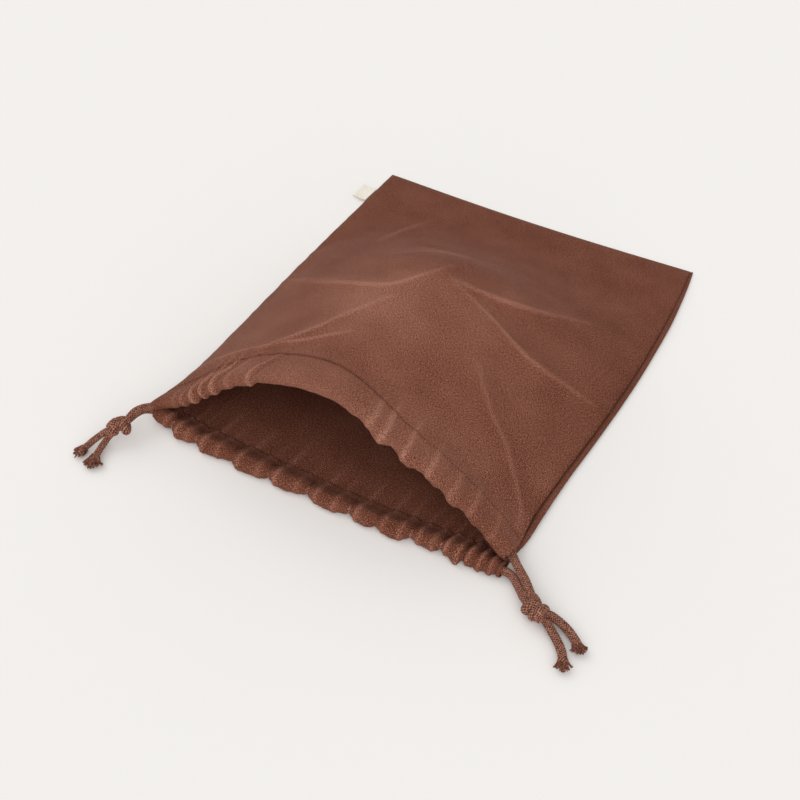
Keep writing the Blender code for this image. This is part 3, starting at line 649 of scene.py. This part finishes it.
def line_distance(x, y, points):
    """How far plan points lie from a bent line, and where along it, from 0 to 1."""
    line = smooth_curve(points, FOLD_STEPS)
    nearest = np.full(x.shape, np.inf)
    along = np.zeros(x.shape)
    for index, (a, b) in enumerate(zip(line, line[1:])):
        run = b - a
        t = np.clip(((x - a[0]) * run[0] + (y - a[1]) * run[1]) / (run @ run), 0, 1)
        gap = np.hypot(x - a[0] - t * run[0], y - a[1] - t * run[1])
        along = np.where(gap < nearest, (index + t) / (len(line) - 1), along)
        nearest = np.minimum(gap, nearest)
    return nearest, along


def fold_relief(x, y, folds):
    """Height that folds add to a panel at plan points."""
    relief = np.zeros(x.shape)
    for fold in folds:
        gap, along = line_distance(x, y, [fold.start, fold.middle, fold.end])
        taper = np.sin(np.pi * np.clip(along, FOLD_END, 1 - FOLD_END)) ** FOLD_SWELL
        away = gap / fold.width
        sharp = np.exp(-CRISP_FALL * (np.sqrt(away ** 2 + CRISP_ROUND ** 2) - CRISP_ROUND))
        profile = (1 - fold.crisp) * bell(away, 1) + fold.crisp * sharp * bell(away, CRISP_REACH)
        relief += fold.height * taper * profile
    return relief


def pinch_relief(x, y):
    """Height that the pressed lines add at plan points, and the painted light: painted highlights along
    the lines and over the lit patches.
    """
    relief, wear = np.zeros(x.shape), np.zeros(x.shape)
    for pinch in PINCHES:
        gap, along = line_distance(x, y, pinch.line)
        taper = np.sin(np.pi * np.clip(along, FOLD_END, 1 - FOLD_END)) ** PINCH_SWELL
        narrow = bell(gap, pinch.width)
        wide = bell(gap, pinch.width * PINCH_SHOULDER)
        relief += pinch.height * taper * (PINCH_STEEP * narrow + (1 - PINCH_STEEP) * wide)
        # painted highlight along each pressed line, standing in for its sheen
        wear = np.maximum(wear, pinch.wear * taper * narrow)
    # painted light: patches painted paler where the crest and the front of the bag take more light
    for lit_patch in LIT_PATCHES:
        wear += lit_patch.wear * bell(np.hypot((x - lit_patch.x) / lit_patch.reach_x, (y - lit_patch.y) / lit_patch.reach_y), 1)
    return relief, wear


def puff_depth(x, puffs):
    """How far a casing stands out round its cord at each place across the bag."""
    return sum(puff.depth * bell(x - puff.x, puff.width) for puff in puffs)


def casing_rows(axis, puffs, outer, hem, turn, flare, end_rise):
    """A casing round its cord, row by row from the stitch line round the fold and back.

    turn is 1 where the hem is folded down and in, and -1 where it is folded up and in. flare is how
    much wider its two ends open, and end_rise how much they rise behind the cord.
    """
    places = places_along(axis)
    axis, along = axis[:, :3], unit(axis[:, 3:])
    square = unit(np.stack([-along[:, 1], along[:, 0], 0 * along[:, 0]], axis=1))
    up = unit(np.cross(along, square))
    from_end = np.minimum(places, places[-1] - places)
    near_end = bell(from_end, END_REACH)[:, None]
    open_left = flare[0] * np.exp(-places / FLARE_REACH)
    open_right = flare[1] * np.exp(-(places[-1] - places) / FLARE_REACH)
    radius = CORD / 2 + CORD_EASE + SOLID_CLOTH / 2 + (open_left + open_right)[:, None]
    rise = end_rise[0] * bell(places, END_REACH) + end_rise[1] * bell(places[-1] - places, END_REACH)
    puff = puff_depth(axis[:, 0], puffs)[:, None]

    def layer_row(behind, above):
        """Close to the cord a layer lies square to it, and at the stitch line straight behind it."""
        straight = np.maximum(fade(behind - SQUARE_REACH, STRAIGHT_REACH - SQUARE_REACH), near_end)
        back = unit(square * (1 - straight) + np.array([0.0, 1.0, 0.0]) * straight)
        return axis + back * behind + up * (above + rise[:, None] * behind / CASING_TAIL)

    rows = [layer_row(*layer) for layer in outer]
    for angle in ROUND_ANGLES:
        behind = -math.cos(math.radians(angle))
        above = turn * math.sin(math.radians(angle))
        rows.append(axis + (square * behind + up * above) * (radius + puff * max(-behind, LEAST_PUFF)))
    rows += [layer_row(*layer) for layer in hem]
    return np.array(rows)


def soft_noise(x, y, size, seed):
    """Smooth random heights from -1 to 1 at flat places, with hills about as wide as size."""
    heights = np.random.default_rng(seed).uniform(-1, 1, (NOISE_CELLS, NOISE_CELLS))
    column, row = x / size + NOISE_SHIFT, y / size + NOISE_SHIFT
    left, low = np.floor(column).astype(int), np.floor(row).astype(int)
    u, v = column - left, row - low
    u, v = u * u * (3 - 2 * u), v * v * (3 - 2 * v)

    def height(right, up):
        """The height at a corner of each place's cell."""
        return heights[(left + right) % NOISE_CELLS, (low + up) % NOISE_CELLS]

    near = height(0, 0) * (1 - u) + height(1, 0) * u
    far = height(0, 1) * (1 - u) + height(1, 1) * u
    return near * (1 - v) + far * v


def grid_normals(grid):
    """Outward directions of a sheet whose rows run to the mouth and whose columns run to the right."""
    return unit(np.cross(np.gradient(grid, axis=0), np.gradient(grid, axis=1)))


def crease_relief(cord_x, behind, creases, start):
    """Height that short creases across a casing add; start is how far round it they begin."""
    relief = np.zeros(np.broadcast(cord_x, behind).shape)
    for crease in creases:
        share = fade(behind + start, crease.back + start)
        swell = np.sin(np.pi * share ** CREASE_SKEW)
        relief += crease.depth * bell(cord_x - crease.x - crease.lean * share, crease.width) * swell
    return relief


def lengths_down(grid):
    """Length along each column of a sheet, from its first row to each of its rows."""
    steps = np.linalg.norm(np.diff(grid, axis=0), axis=2)
    return np.vstack([np.zeros(grid.shape[1]), np.cumsum(steps, axis=0)])


def from_sides(x):
    """How far each point of a sheet lies in from the nearer of its row's ends."""
    return np.minimum(x - x[:, :1], x[:, -1:] - x)


def behind_row(grid, depths):
    """The points of a sheet that lie the given lengths before its last row, one for each column."""
    down = lengths_down(grid)
    line = []
    for column, depth in enumerate(depths):
        lengths = down[:, column]
        line.append([np.interp(lengths[-1] - depth, lengths, values) for values in grid[:, column].T])
    return np.array(line)


def stitch_depth(cord_x):
    """How far behind the casing's first row its stitch line runs, and how deep it is drawn in."""
    across, depth, drawn = zip(*STITCH_PLACES)
    return np.interp(cord_x, across, depth), np.interp(cord_x, across, drawn)


def front_grid():
    """The front panel's sheet, row by row from the closed end to the end of its hem.

    Also gives the casing's first row and where each column's cord lies across the bag.
    """
    axis = casing_axis(FRONT_CORD, FRONT_CASING)
    axis = points_at(axis, np.linspace(0, places_along(axis)[-1], FRONT_COLUMNS + 1))
    casing = casing_rows(axis, FRONT_PUFFS, FRONT_OUTER, FRONT_HEM, 1, FRONT_FLARE, FRONT_END_RISE)
    sections = np.array([section_curve(section) for section in FRONT_SECTIONS] + [casing[0]])
    body = smooth_rows(sections, [section.steps for section in FRONT_SECTIONS])
    x, y = body[..., 0], body[..., 1]
    from_casing = y - casing[0][:, 1]
    hold = fade(np.minimum(from_sides(x), from_casing), SEAM_HOLD)
    body[..., 2] += fold_relief(x, y, FOLDS) * hold
    rounded = smooth_rows(casing, CASING_STEPS)
    stitch_line = behind_row(body, stitch_depth(axis[:, 0])[0]) - grid_normals(body)[-1] * HEM_UNDER
    steps = np.arange(1, HEM_STEPS + 1)[:, None, None] / HEM_STEPS
    hem = rounded[-1] + (stitch_line - rounded[-1]) * steps
    return np.concatenate([body[:-1], rounded, hem]), len(body) - 1, axis[:, 0]


def wrinkled_front():
    """The front panel with its gathers, pressed lines and the small unevenness of worn linen.

    Gives its sheet, the same sheet for its inside, its painted light (painted highlights and painted
    shade), and its stitch line.
    """
    grid, casing_row, cord_x = front_grid()
    x, y = grid[..., 0], grid[..., 1]
    down = lengths_down(grid)
    behind = down[casing_row] - down
    facing = np.clip((behind + CASING_TAIL + CORD) / FOLD_TURN, -1, 1)
    from_seams = from_sides(x)
    normals = grid_normals(grid)
    gathers = crease_relief(cord_x, behind, FRONT_CREASES, FRONT_CREASE_START)
    pressed, wear = pinch_relief(x, y)
    past, near = PINCH_FADES
    on_body = fade(behind + past, past) * fade(from_seams, near)
    relief = gathers + pressed * on_body
    # painted highlight on the tops of the gathers
    wear += CREASE_HIGHLIGHT * np.clip(gathers, 0, 2)
    depth, drawn = stitch_depth(cord_x)
    groove = bell(behind - depth, STITCH_GROOVE_WIDTH) * drawn
    relief -= STITCH_GROOVE * groove
    # painted shade in the stitch groove
    wear -= STITCH_SHADE * groove
    inside = fade(from_seams, UNEVEN_FADES[0]) * fade(down, UNEVEN_FADES[1]) * facing
    for size, height, seed in UNEVENNESS:
        relief += height * soft_noise(x, y, size, SEED + seed) * inside
    for side, edge in ((1, x[:, :1]), (-1, x[:, -1:])):
        from_edge = side * (x - edge)
        pucker = soft_noise(y, 0 * y, SEAM_PUCKER_PITCH, SEED + PUCKER_SEED + side)
        relief += SEAM_PUCKER * pucker * np.exp(-from_edge / SEAM_PUCKER_REACH) * fade(behind, SEAM_FADE)
    under = lowest_near(relief)
    edges = np.minimum(from_seams, down)
    roll = np.zeros(grid.shape)
    roll[..., 2] = SEAM_ROLL * bell(edges, SEAM_ROLL_REACH) * fade(behind, SEAM_FADE)
    outside = grid + normals * relief[..., None] - roll
    inner = grid + normals * (under - CLOTH)[..., None] - roll
    stitch_line = behind_row(outside[:casing_row + 1], depth)
    return outside, inner, wear, stitch_line


def lowest_near(relief):
    """The lowest height within a few steps of each place of a sheet."""
    for axis in (0, 1):
        pads = [(LOW_REACH, LOW_REACH) if axis == side else (0, 0) for side in (0, 1)]
        padded = np.pad(relief, pads, mode="edge")
        windows = np.lib.stride_tricks.sliding_window_view(padded, 2 * LOW_REACH + 1, axis=axis)
        relief = windows.min(axis=-1)
    return relief


def back_row(row):
    """One row of the back panel: flat, lifted a little at its seams, with the welt at its right."""
    x = np.linspace(row.left_x, row.right_x, BACK_COLUMNS + 1)
    left = row.left_lift * (1 - fade(x - row.left_x, LIFT_REACH)) ** 2
    right = row.right_lift * (1 - fade(row.right_x - x, LIFT_REACH)) ** 2
    flat = np.stack([x, bowed(row, x), SOLID_CLOTH / 2 + left + right], axis=1)
    foot = WELT[0][0]
    out, up = smooth_curve([(0, 0), *WELT], WELT_STEPS)[1:].T
    out = row.right_x + np.minimum(out, foot) + np.maximum(out - foot, 0) * row.welt
    return np.vstack([flat, np.stack([out, 0 * out + row.y, flat[-1, 2] + up * row.welt], axis=1)])


def back_grid():
    """The back panel's sheet, row by row from the closed end to the end of its hem.

    Also gives the row of its stitch line and where each column's cord lies across the bag.
    """
    axis = casing_axis(BACK_CORD, BACK_CASING)
    whole = places_along(axis)[-1]
    count = len(WELT) * WELT_STEPS
    even = np.linspace(0, whole - WELT_STRETCH, BACK_COLUMNS + 1)
    close = whole - WELT_STRETCH + np.arange(1, count + 1) * WELT_STRETCH / count
    axis = points_at(axis, np.concatenate([even, close]))
    casing = casing_rows(axis, BACK_PUFFS, BACK_OUTER, BACK_HEM, -1, BACK_FLARE, BACK_END_RISE)
    rows = np.array([back_row(row) for row in BACK_ROWS] + [casing[0]])
    body = smooth_rows(rows, [row.steps for row in BACK_ROWS])
    grid = np.concatenate([body[:-1], smooth_rows(casing, CASING_STEPS)])
    return grid, len(body) - 1, axis[:, 0]


def wrinkled_back():
    """The back panel, resting on the surface, with the pleats of its gathered mouth.

    Gives its two sides, its painted highlight on the tops of its pleats, and the line along which its hem
    is stitched.
    """
    grid, casing_row, cord_x = back_grid()
    x, y = grid[..., 0], grid[..., 1]
    down = lengths_down(grid)
    behind = down[casing_row] - down
    outward = -grid_normals(grid)
    relief = crease_relief(cord_x, behind, BACK_CREASES, BACK_CREASE_START)
    relief = np.where(behind > 0, np.maximum(relief, 0), relief)
    # painted highlight on the tops of the pleats
    wear = CREASE_HIGHLIGHT * np.clip(relief, 0, 2)
    seam = x[:, BACK_COLUMNS:BACK_COLUMNS + 1]
    inside = fade(np.minimum(x - x[:, :1], seam - x), BACK_UNEVEN_FADE) * fade(down, BACK_UNEVEN_FADE)
    swell = sum(height * soft_noise(x, y, size, SEED + BACK_SEED + seed)
                for size, height, seed in UNEVENNESS)
    relief += np.maximum(swell, 0) * inside
    direction = np.where(behind[..., None] < 0, outward, np.array([0.0, 0.0, 1.0]))
    grid = grid + direction * relief[..., None]
    grid[..., 2] = np.maximum(grid[..., 2] - (SOLID_CLOTH - CLOTH) / 2, CLOTH / 2)
    half = grid_normals(grid) * CLOTH / 2
    return grid + half, grid - half, wear, (grid - half)[-1 - HEM_EDGE]


def sheet_piece(name, upper, lower, material, wear=None, step=1):
    """A closed cloth sheet between two grids of points, with flat UVs and its painted light.

    The lower grid has one row and column for each step of the upper grid's.
    """
    rows, columns = upper.shape[:2]
    down = lengths_down(upper).mean(axis=1)
    flat = np.stack(np.meshgrid(np.linspace(0, 1, columns), 1 - down / down[-1]), axis=2)
    row_picks = list(range(0, rows - 1, step)) + [rows - 1]
    column_picks = list(range(0, columns - 1, step)) + [columns - 1]
    picked = np.ix_(row_picks, column_picks)
    points = np.vstack([upper.reshape(-1, 3), lower[picked].reshape(-1, 3)])
    uvs = np.vstack([flat.reshape(-1, 2), flat[picked].reshape(-1, 2)])
    top = np.arange(rows * columns).reshape(rows, columns)
    under = top.size + np.arange(lower[picked][..., 0].size).reshape(len(row_picks), -1)
    faces = [face[::-1] for face in grid_faces(*top.shape)]
    faces += [tuple(top.size + index for index in face) for face in grid_faces(*under.shape)]
    rims = [(top[end], under[end], column_picks) for end in (0, -1)]
    rims += [(top[:, end], under[:, end], row_picks) for end in (0, -1)]
    for edge, under_edge, picks in rims:
        for low, (a, b) in enumerate(zip(picks, picks[1:])):
            faces.append((*edge[a:b + 1].tolist(), int(under_edge[low + 1]), int(under_edge[low])))
    painted_lightness = np.zeros(len(points))
    if wear is not None:
        painted_lightness[:top.size] = wear.ravel()
        painted_lightness[top.size:] = wear[picked].ravel() if step == 1 else 0
    return add_mesh(name, metres(points), faces, material, uvs, painted_lightness)


def stitches(name, line, normals, material):
    """The stitches of a casing: short pulls of thread that dip into the cloth at both ends."""
    along = np.linspace(-0.5, 0.5, len(STITCH_LIFT)) * STITCH_LENGTH
    tubes = []
    for middle in np.arange(STITCH_PITCH, places_along(line)[-1] - STITCH_PITCH, STITCH_PITCH):
        points = points_at(np.hstack([line, normals]), middle + along)
        lift = unit(points[:, 3:]) * np.array(STITCH_LIFT)[:, None]
        tubes.append(thin_tube(points[:, :3] + lift, STITCH_THICK))
    return add_tubes(name, tubes, material)


def seam_x(y):
    """Where the left seam runs at a place along the bag."""
    sections = sorted(FRONT_SECTIONS, key=lambda section: section.y)
    return float(np.interp(y, [s.y for s in sections], [s.left_x for s in sections]))


def label_piece(material):
    """The label: tape that runs out of the seam, turns over at its free end and runs back."""
    reach = LABEL_LENGTH - LABEL_OPEN
    path = [(reach * t, LABEL_OPEN) for t in np.linspace(0, 1, LABEL_STEPS, endpoint=False)]
    path += [(reach + LABEL_OPEN * math.sin(angle), LABEL_OPEN * math.cos(angle))
             for angle in np.linspace(0, math.pi, LABEL_TURN_STEPS + 1)]
    path += [(reach * (1 - t), -LABEL_OPEN) for t in np.linspace(0, 1, LABEL_STEPS + 1)[1:]]
    across = np.linspace(LABEL_START, LABEL_END, LABEL_STEPS + 1)
    from_middle = (across - across.mean()) / (LABEL_END - LABEL_START) * 2
    shut, opening = LABEL_SHUT
    rows = []
    for out, up in path:
        t = out / LABEL_LENGTH
        rise = SEAM_GAP + SOLID_CLOTH + LABEL_CURL * t ** 2 + up * min(1, shut + opening * t)
        rows.append([(seam_x(y) - SEAM_GAP - out, y + LABEL_SKEW * t, rise + LABEL_CUP * t * side ** 2)
                     for y, side in zip(across, from_middle)])
    grid = np.array(rows)
    half = grid_normals(grid) * LABEL_TAPE / 2
    return sheet_piece("label_tape", grid + half, grid - half, material)


def node(tree, kind, **settings):
    """A shader node with its settings; a setting named after an input sets that input."""
    made = tree.nodes.new(kind)
    for name, value in settings.items():
        if hasattr(made, name):
            setattr(made, name, value)
        else:
            made.inputs[name.replace("_", " ")].default_value = value
    return made


def grains(tree, place, table):
    """Procedural noises at a place, each with its weight."""
    parts = []
    for scale, detail, roughness, weight in table:
        made = node(tree, "ShaderNodeTexNoise", Scale=1.0, Detail=detail, Roughness=roughness)
        tree.links.new(stretched(tree, place, scale), made.inputs["Vector"])
        parts.append((made.outputs["Fac"], weight))
    return parts


def weave(tree, place, table):
    """Rows of slightly uneven yarn at a place, each set with its weight."""
    parts = []
    for direction, pitch, weight in table:
        made = node(tree, "ShaderNodeTexWave", bands_direction=direction, wave_profile="SIN",
                    Scale=YARN_WAVES / pitch, Distortion=YARN_WANDER, Detail=1.0)
        made.inputs["Detail Scale"].default_value = YARN_WANDER_SIZE
        tree.links.new(place, made.inputs["Vector"])
        parts.append((made.outputs["Fac"], weight))
    return parts


def stretched(tree, place, scale):
    """The same place, stretched by three numbers."""
    made = node(tree, "ShaderNodeMapping", Scale=scale)
    tree.links.new(place, made.inputs["Vector"])
    return made.outputs["Vector"]


def combine(tree, operation, first, second):
    """A sum, product or the like of two values, either of them a number or an output."""
    made = node(tree, "ShaderNodeMath", operation=operation)
    for socket, value in zip(made.inputs, (first, second)):
        if isinstance(value, (int, float)):
            socket.default_value = value
        else:
            tree.links.new(value, socket)
    return made.outputs["Value"]


def weighted(tree, parts):
    """The sum of several outputs, each times its weight."""
    total = None
    for output, weight in parts:
        share = combine(tree, "MULTIPLY", output, weight)
        total = share if total is None else combine(tree, "ADD", total, share)
    return total


def ramp(tree, value, stops):
    """Colours along a value, as pairs of place and colour."""
    made = tree.nodes.new("ShaderNodeValToRGB")
    bar = made.color_ramp
    while len(bar.elements) < len(stops):
        bar.elements.new(0.5)
    for element, (place, colour) in zip(bar.elements, stops):
        element.position = place
        element.color = (*colour, 1)
    tree.links.new(value, made.inputs["Fac"])
    return made.outputs["Color"]


def textile(name, finish, stops, shade, relief=(), rows=(), flat=None, solid=True, painted_lightness=0):
    """A matte textile, from tables of the grains in its colour and relief and its rows of yarn.

    flat is the size of the piece when it is flat. solid says that the grains lie in the model's frame
    and not on the flat piece, and the last argument how far the painted light (painted highlights and
    painted shade) moves the colour.
    """
    material = bpy.data.materials.new(name)
    material.use_nodes = True
    tree = material.node_tree
    shader = tree.nodes["Principled BSDF"]
    shader.inputs["Roughness"].default_value = finish.roughness
    shader.inputs["Sheen Weight"].default_value = finish.sheen
    shader.inputs["Sheen Roughness"].default_value = SHEEN_ROUGHNESS
    shader.inputs["Sheen Tint"].default_value = (*finish.tint, 1)
    shader.inputs["Specular IOR Level"].default_value = SPECULAR
    coordinates = node(tree, "ShaderNodeTexCoord").outputs
    if flat:
        flat_place = stretched(tree, coordinates["UV"], (*flat, 1))
    place = stretched(tree, coordinates["Object"], (1 / MM, 1 / MM, 1 / MM)) if solid else flat_place
    colour = grains(tree, place, shade)
    # painted light from the mesh's attribute: painted highlights and painted shade, mixed into the base
    # colour
    if painted_lightness:
        colour.append((node(tree, "ShaderNodeAttribute", attribute_name="wear").outputs["Fac"], painted_lightness))
    tree.links.new(ramp(tree, weighted(tree, colour), stops), shader.inputs["Base Color"])
    height = grains(tree, place, relief)
    if rows:
        height += weave(tree, flat_place, rows)
    raised = node(tree, "ShaderNodeBump", Strength=finish.strength, Distance=finish.height * MM)
    tree.links.new(weighted(tree, height), raised.inputs["Height"])
    tree.links.new(raised.outputs["Normal"], shader.inputs["Normal"])
    return material


def linen():
    """Brown plain-weave linen: speckled yarns, slubs both ways and soft mottling."""
    return textile("brown_linen", LINEN_FINISH, LINEN_STOPS, LINEN_GRAINS, LINEN_FUZZ, LINEN_WEAVE,
                   flat=(FLAT_WIDTH, FLAT_LENGTH), solid=False, painted_lightness=LINEN_PAINTED_LIGHT)


def cord_cotton():
    """Braided cotton of the drawcords: each strand of several yarns, with lighter fibres."""
    return textile("brown_cord", CORD_FINISH, CORD_STOPS, CORD_GRAINS, CORD_FUZZ, painted_lightness=CORD_PAINTED_LIGHT)


def label_tape():
    """Cream woven tape with fine cross ribs."""
    return textile("cream_tape", TAPE_FINISH, TAPE_STOPS, TAPE_GRAINS, rows=TAPE_WEAVE,
                   flat=(LABEL_END - LABEL_START, 2 * LABEL_LENGTH))


def thread():
    """The darker sewing thread."""
    return textile("sewing_thread", THREAD_FINISH, THREAD_STOPS, THREAD_GRAINS, THREAD_FUZZ)


def floor_piece():
    """The plain pale surface under the bag."""
    material = bpy.data.materials.new("pale_floor")
    material.use_nodes = True
    shader = material.node_tree.nodes["Principled BSDF"]
    shader.inputs["Base Color"].default_value = (*FLOOR_COLOUR, 1)
    shader.inputs["Roughness"].default_value = 1.0
    shader.inputs["Specular IOR Level"].default_value = 0.0
    corners = [(x * FLOOR_HALF, y * FLOOR_HALF, 0) for x, y in ((-1, -1), (1, -1), (1, 1), (-1, 1))]
    add_mesh("floor", corners, [(0, 1, 2, 3)], material)


def lights():
    """Soft daylight from the bag's left and its front, and an even pale surround."""
    scene = bpy.context.scene
    scene.view_settings.view_transform = "Standard"
    world = bpy.data.worlds.new("surround")
    world.use_nodes = True
    background = world.node_tree.nodes["Background"]
    background.inputs["Color"].default_value = (*SURROUND_COLOUR, 1)
    background.inputs["Strength"].default_value = SURROUND_STRENGTH
    scene.world = world
    for sun in SUNS:
        lamp = bpy.data.lights.new(sun.name, "SUN")
        lamp.energy = sun.strength
        lamp.angle = math.radians(sun.width)
        aim(add_object(sun.name, lamp), -Vector(sun.place))


def declare_cord(solids):
    """Hides a cord's solids, where a braided tube, bare at both ends, lies in their place."""
    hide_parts(*solids)


def add_cords(material):
    """Both drawcords from end to end, their knots and their frayed ends."""
    through_left, through_right = KNOT_LEFT.centre, KNOT_RIGHT.centre
    front = TAIL_LEFT_1[::-1] + [through_left] + FRONT_CORD + [through_right] + TAIL_RIGHT_1
    back = TAIL_LEFT_2[::-1] + [through_left] + BACK_CORD + [through_right] + TAIL_RIGHT_2
    front_cord = braided_tube("front_cord", front, CORD_RADII, material)
    back_cord = braided_tube("back_cord", back, CORD_RADII, material)
    left = knot_piece("left_knot", KNOT_LEFT, material)
    right = knot_piece("right_knot", KNOT_RIGHT, material)
    frays = [fray(*row, material, SEED + FRAY_SEED + index) for index, row in enumerate(FRAYS)]
    declare_cord(["drawcord_front", "tail_left_1", "tail_right_1"])
    declare_cord(["drawcord_back", "tail_left_2", "tail_right_2"])
    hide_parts("knot_left")
    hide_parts("knot_right")
    return [front_cord, back_cord, left, right, *frays]


def add_cloth(cloth, tape, seam_thread):
    """Both panels with their stitches, and the label."""
    outside, inner, wear, stitch_line = wrinkled_front()
    front = sheet_piece("front_cloth", outside, inner, cloth, wear, INSIDE_STEP)
    raised = unit(np.cross(np.gradient(stitch_line, axis=0), np.array([0.0, 1.0, 0.0])))
    front_stitches = stitches("front_stitches", stitch_line, raised, seam_thread)
    upper, lower, wear, stitch_line = wrinkled_back()
    back = sheet_piece("back_cloth", upper, lower, cloth, wear)
    raised = np.tile([0.0, 0.0, 1.0], (len(stitch_line), 1))
    back_stitches = stitches("back_stitches", stitch_line, raised, seam_thread)
    label = label_piece(tape)
    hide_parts("front_panel")
    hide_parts("back_panel")
    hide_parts("label")
    return [front, back, front_stitches, back_stitches], label


def main():
    """Makes the scene."""
    camera()
    cords = add_cords(cord_cotton())
    cloths, label = add_cloth(linen(), label_tape(), thread())
    for pieces, slot in ((cords, "cord"), (cloths, "linen"), ([label], "label")):
        for piece in pieces:
            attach(piece, "root")
    floor_piece()
    lights()


main()
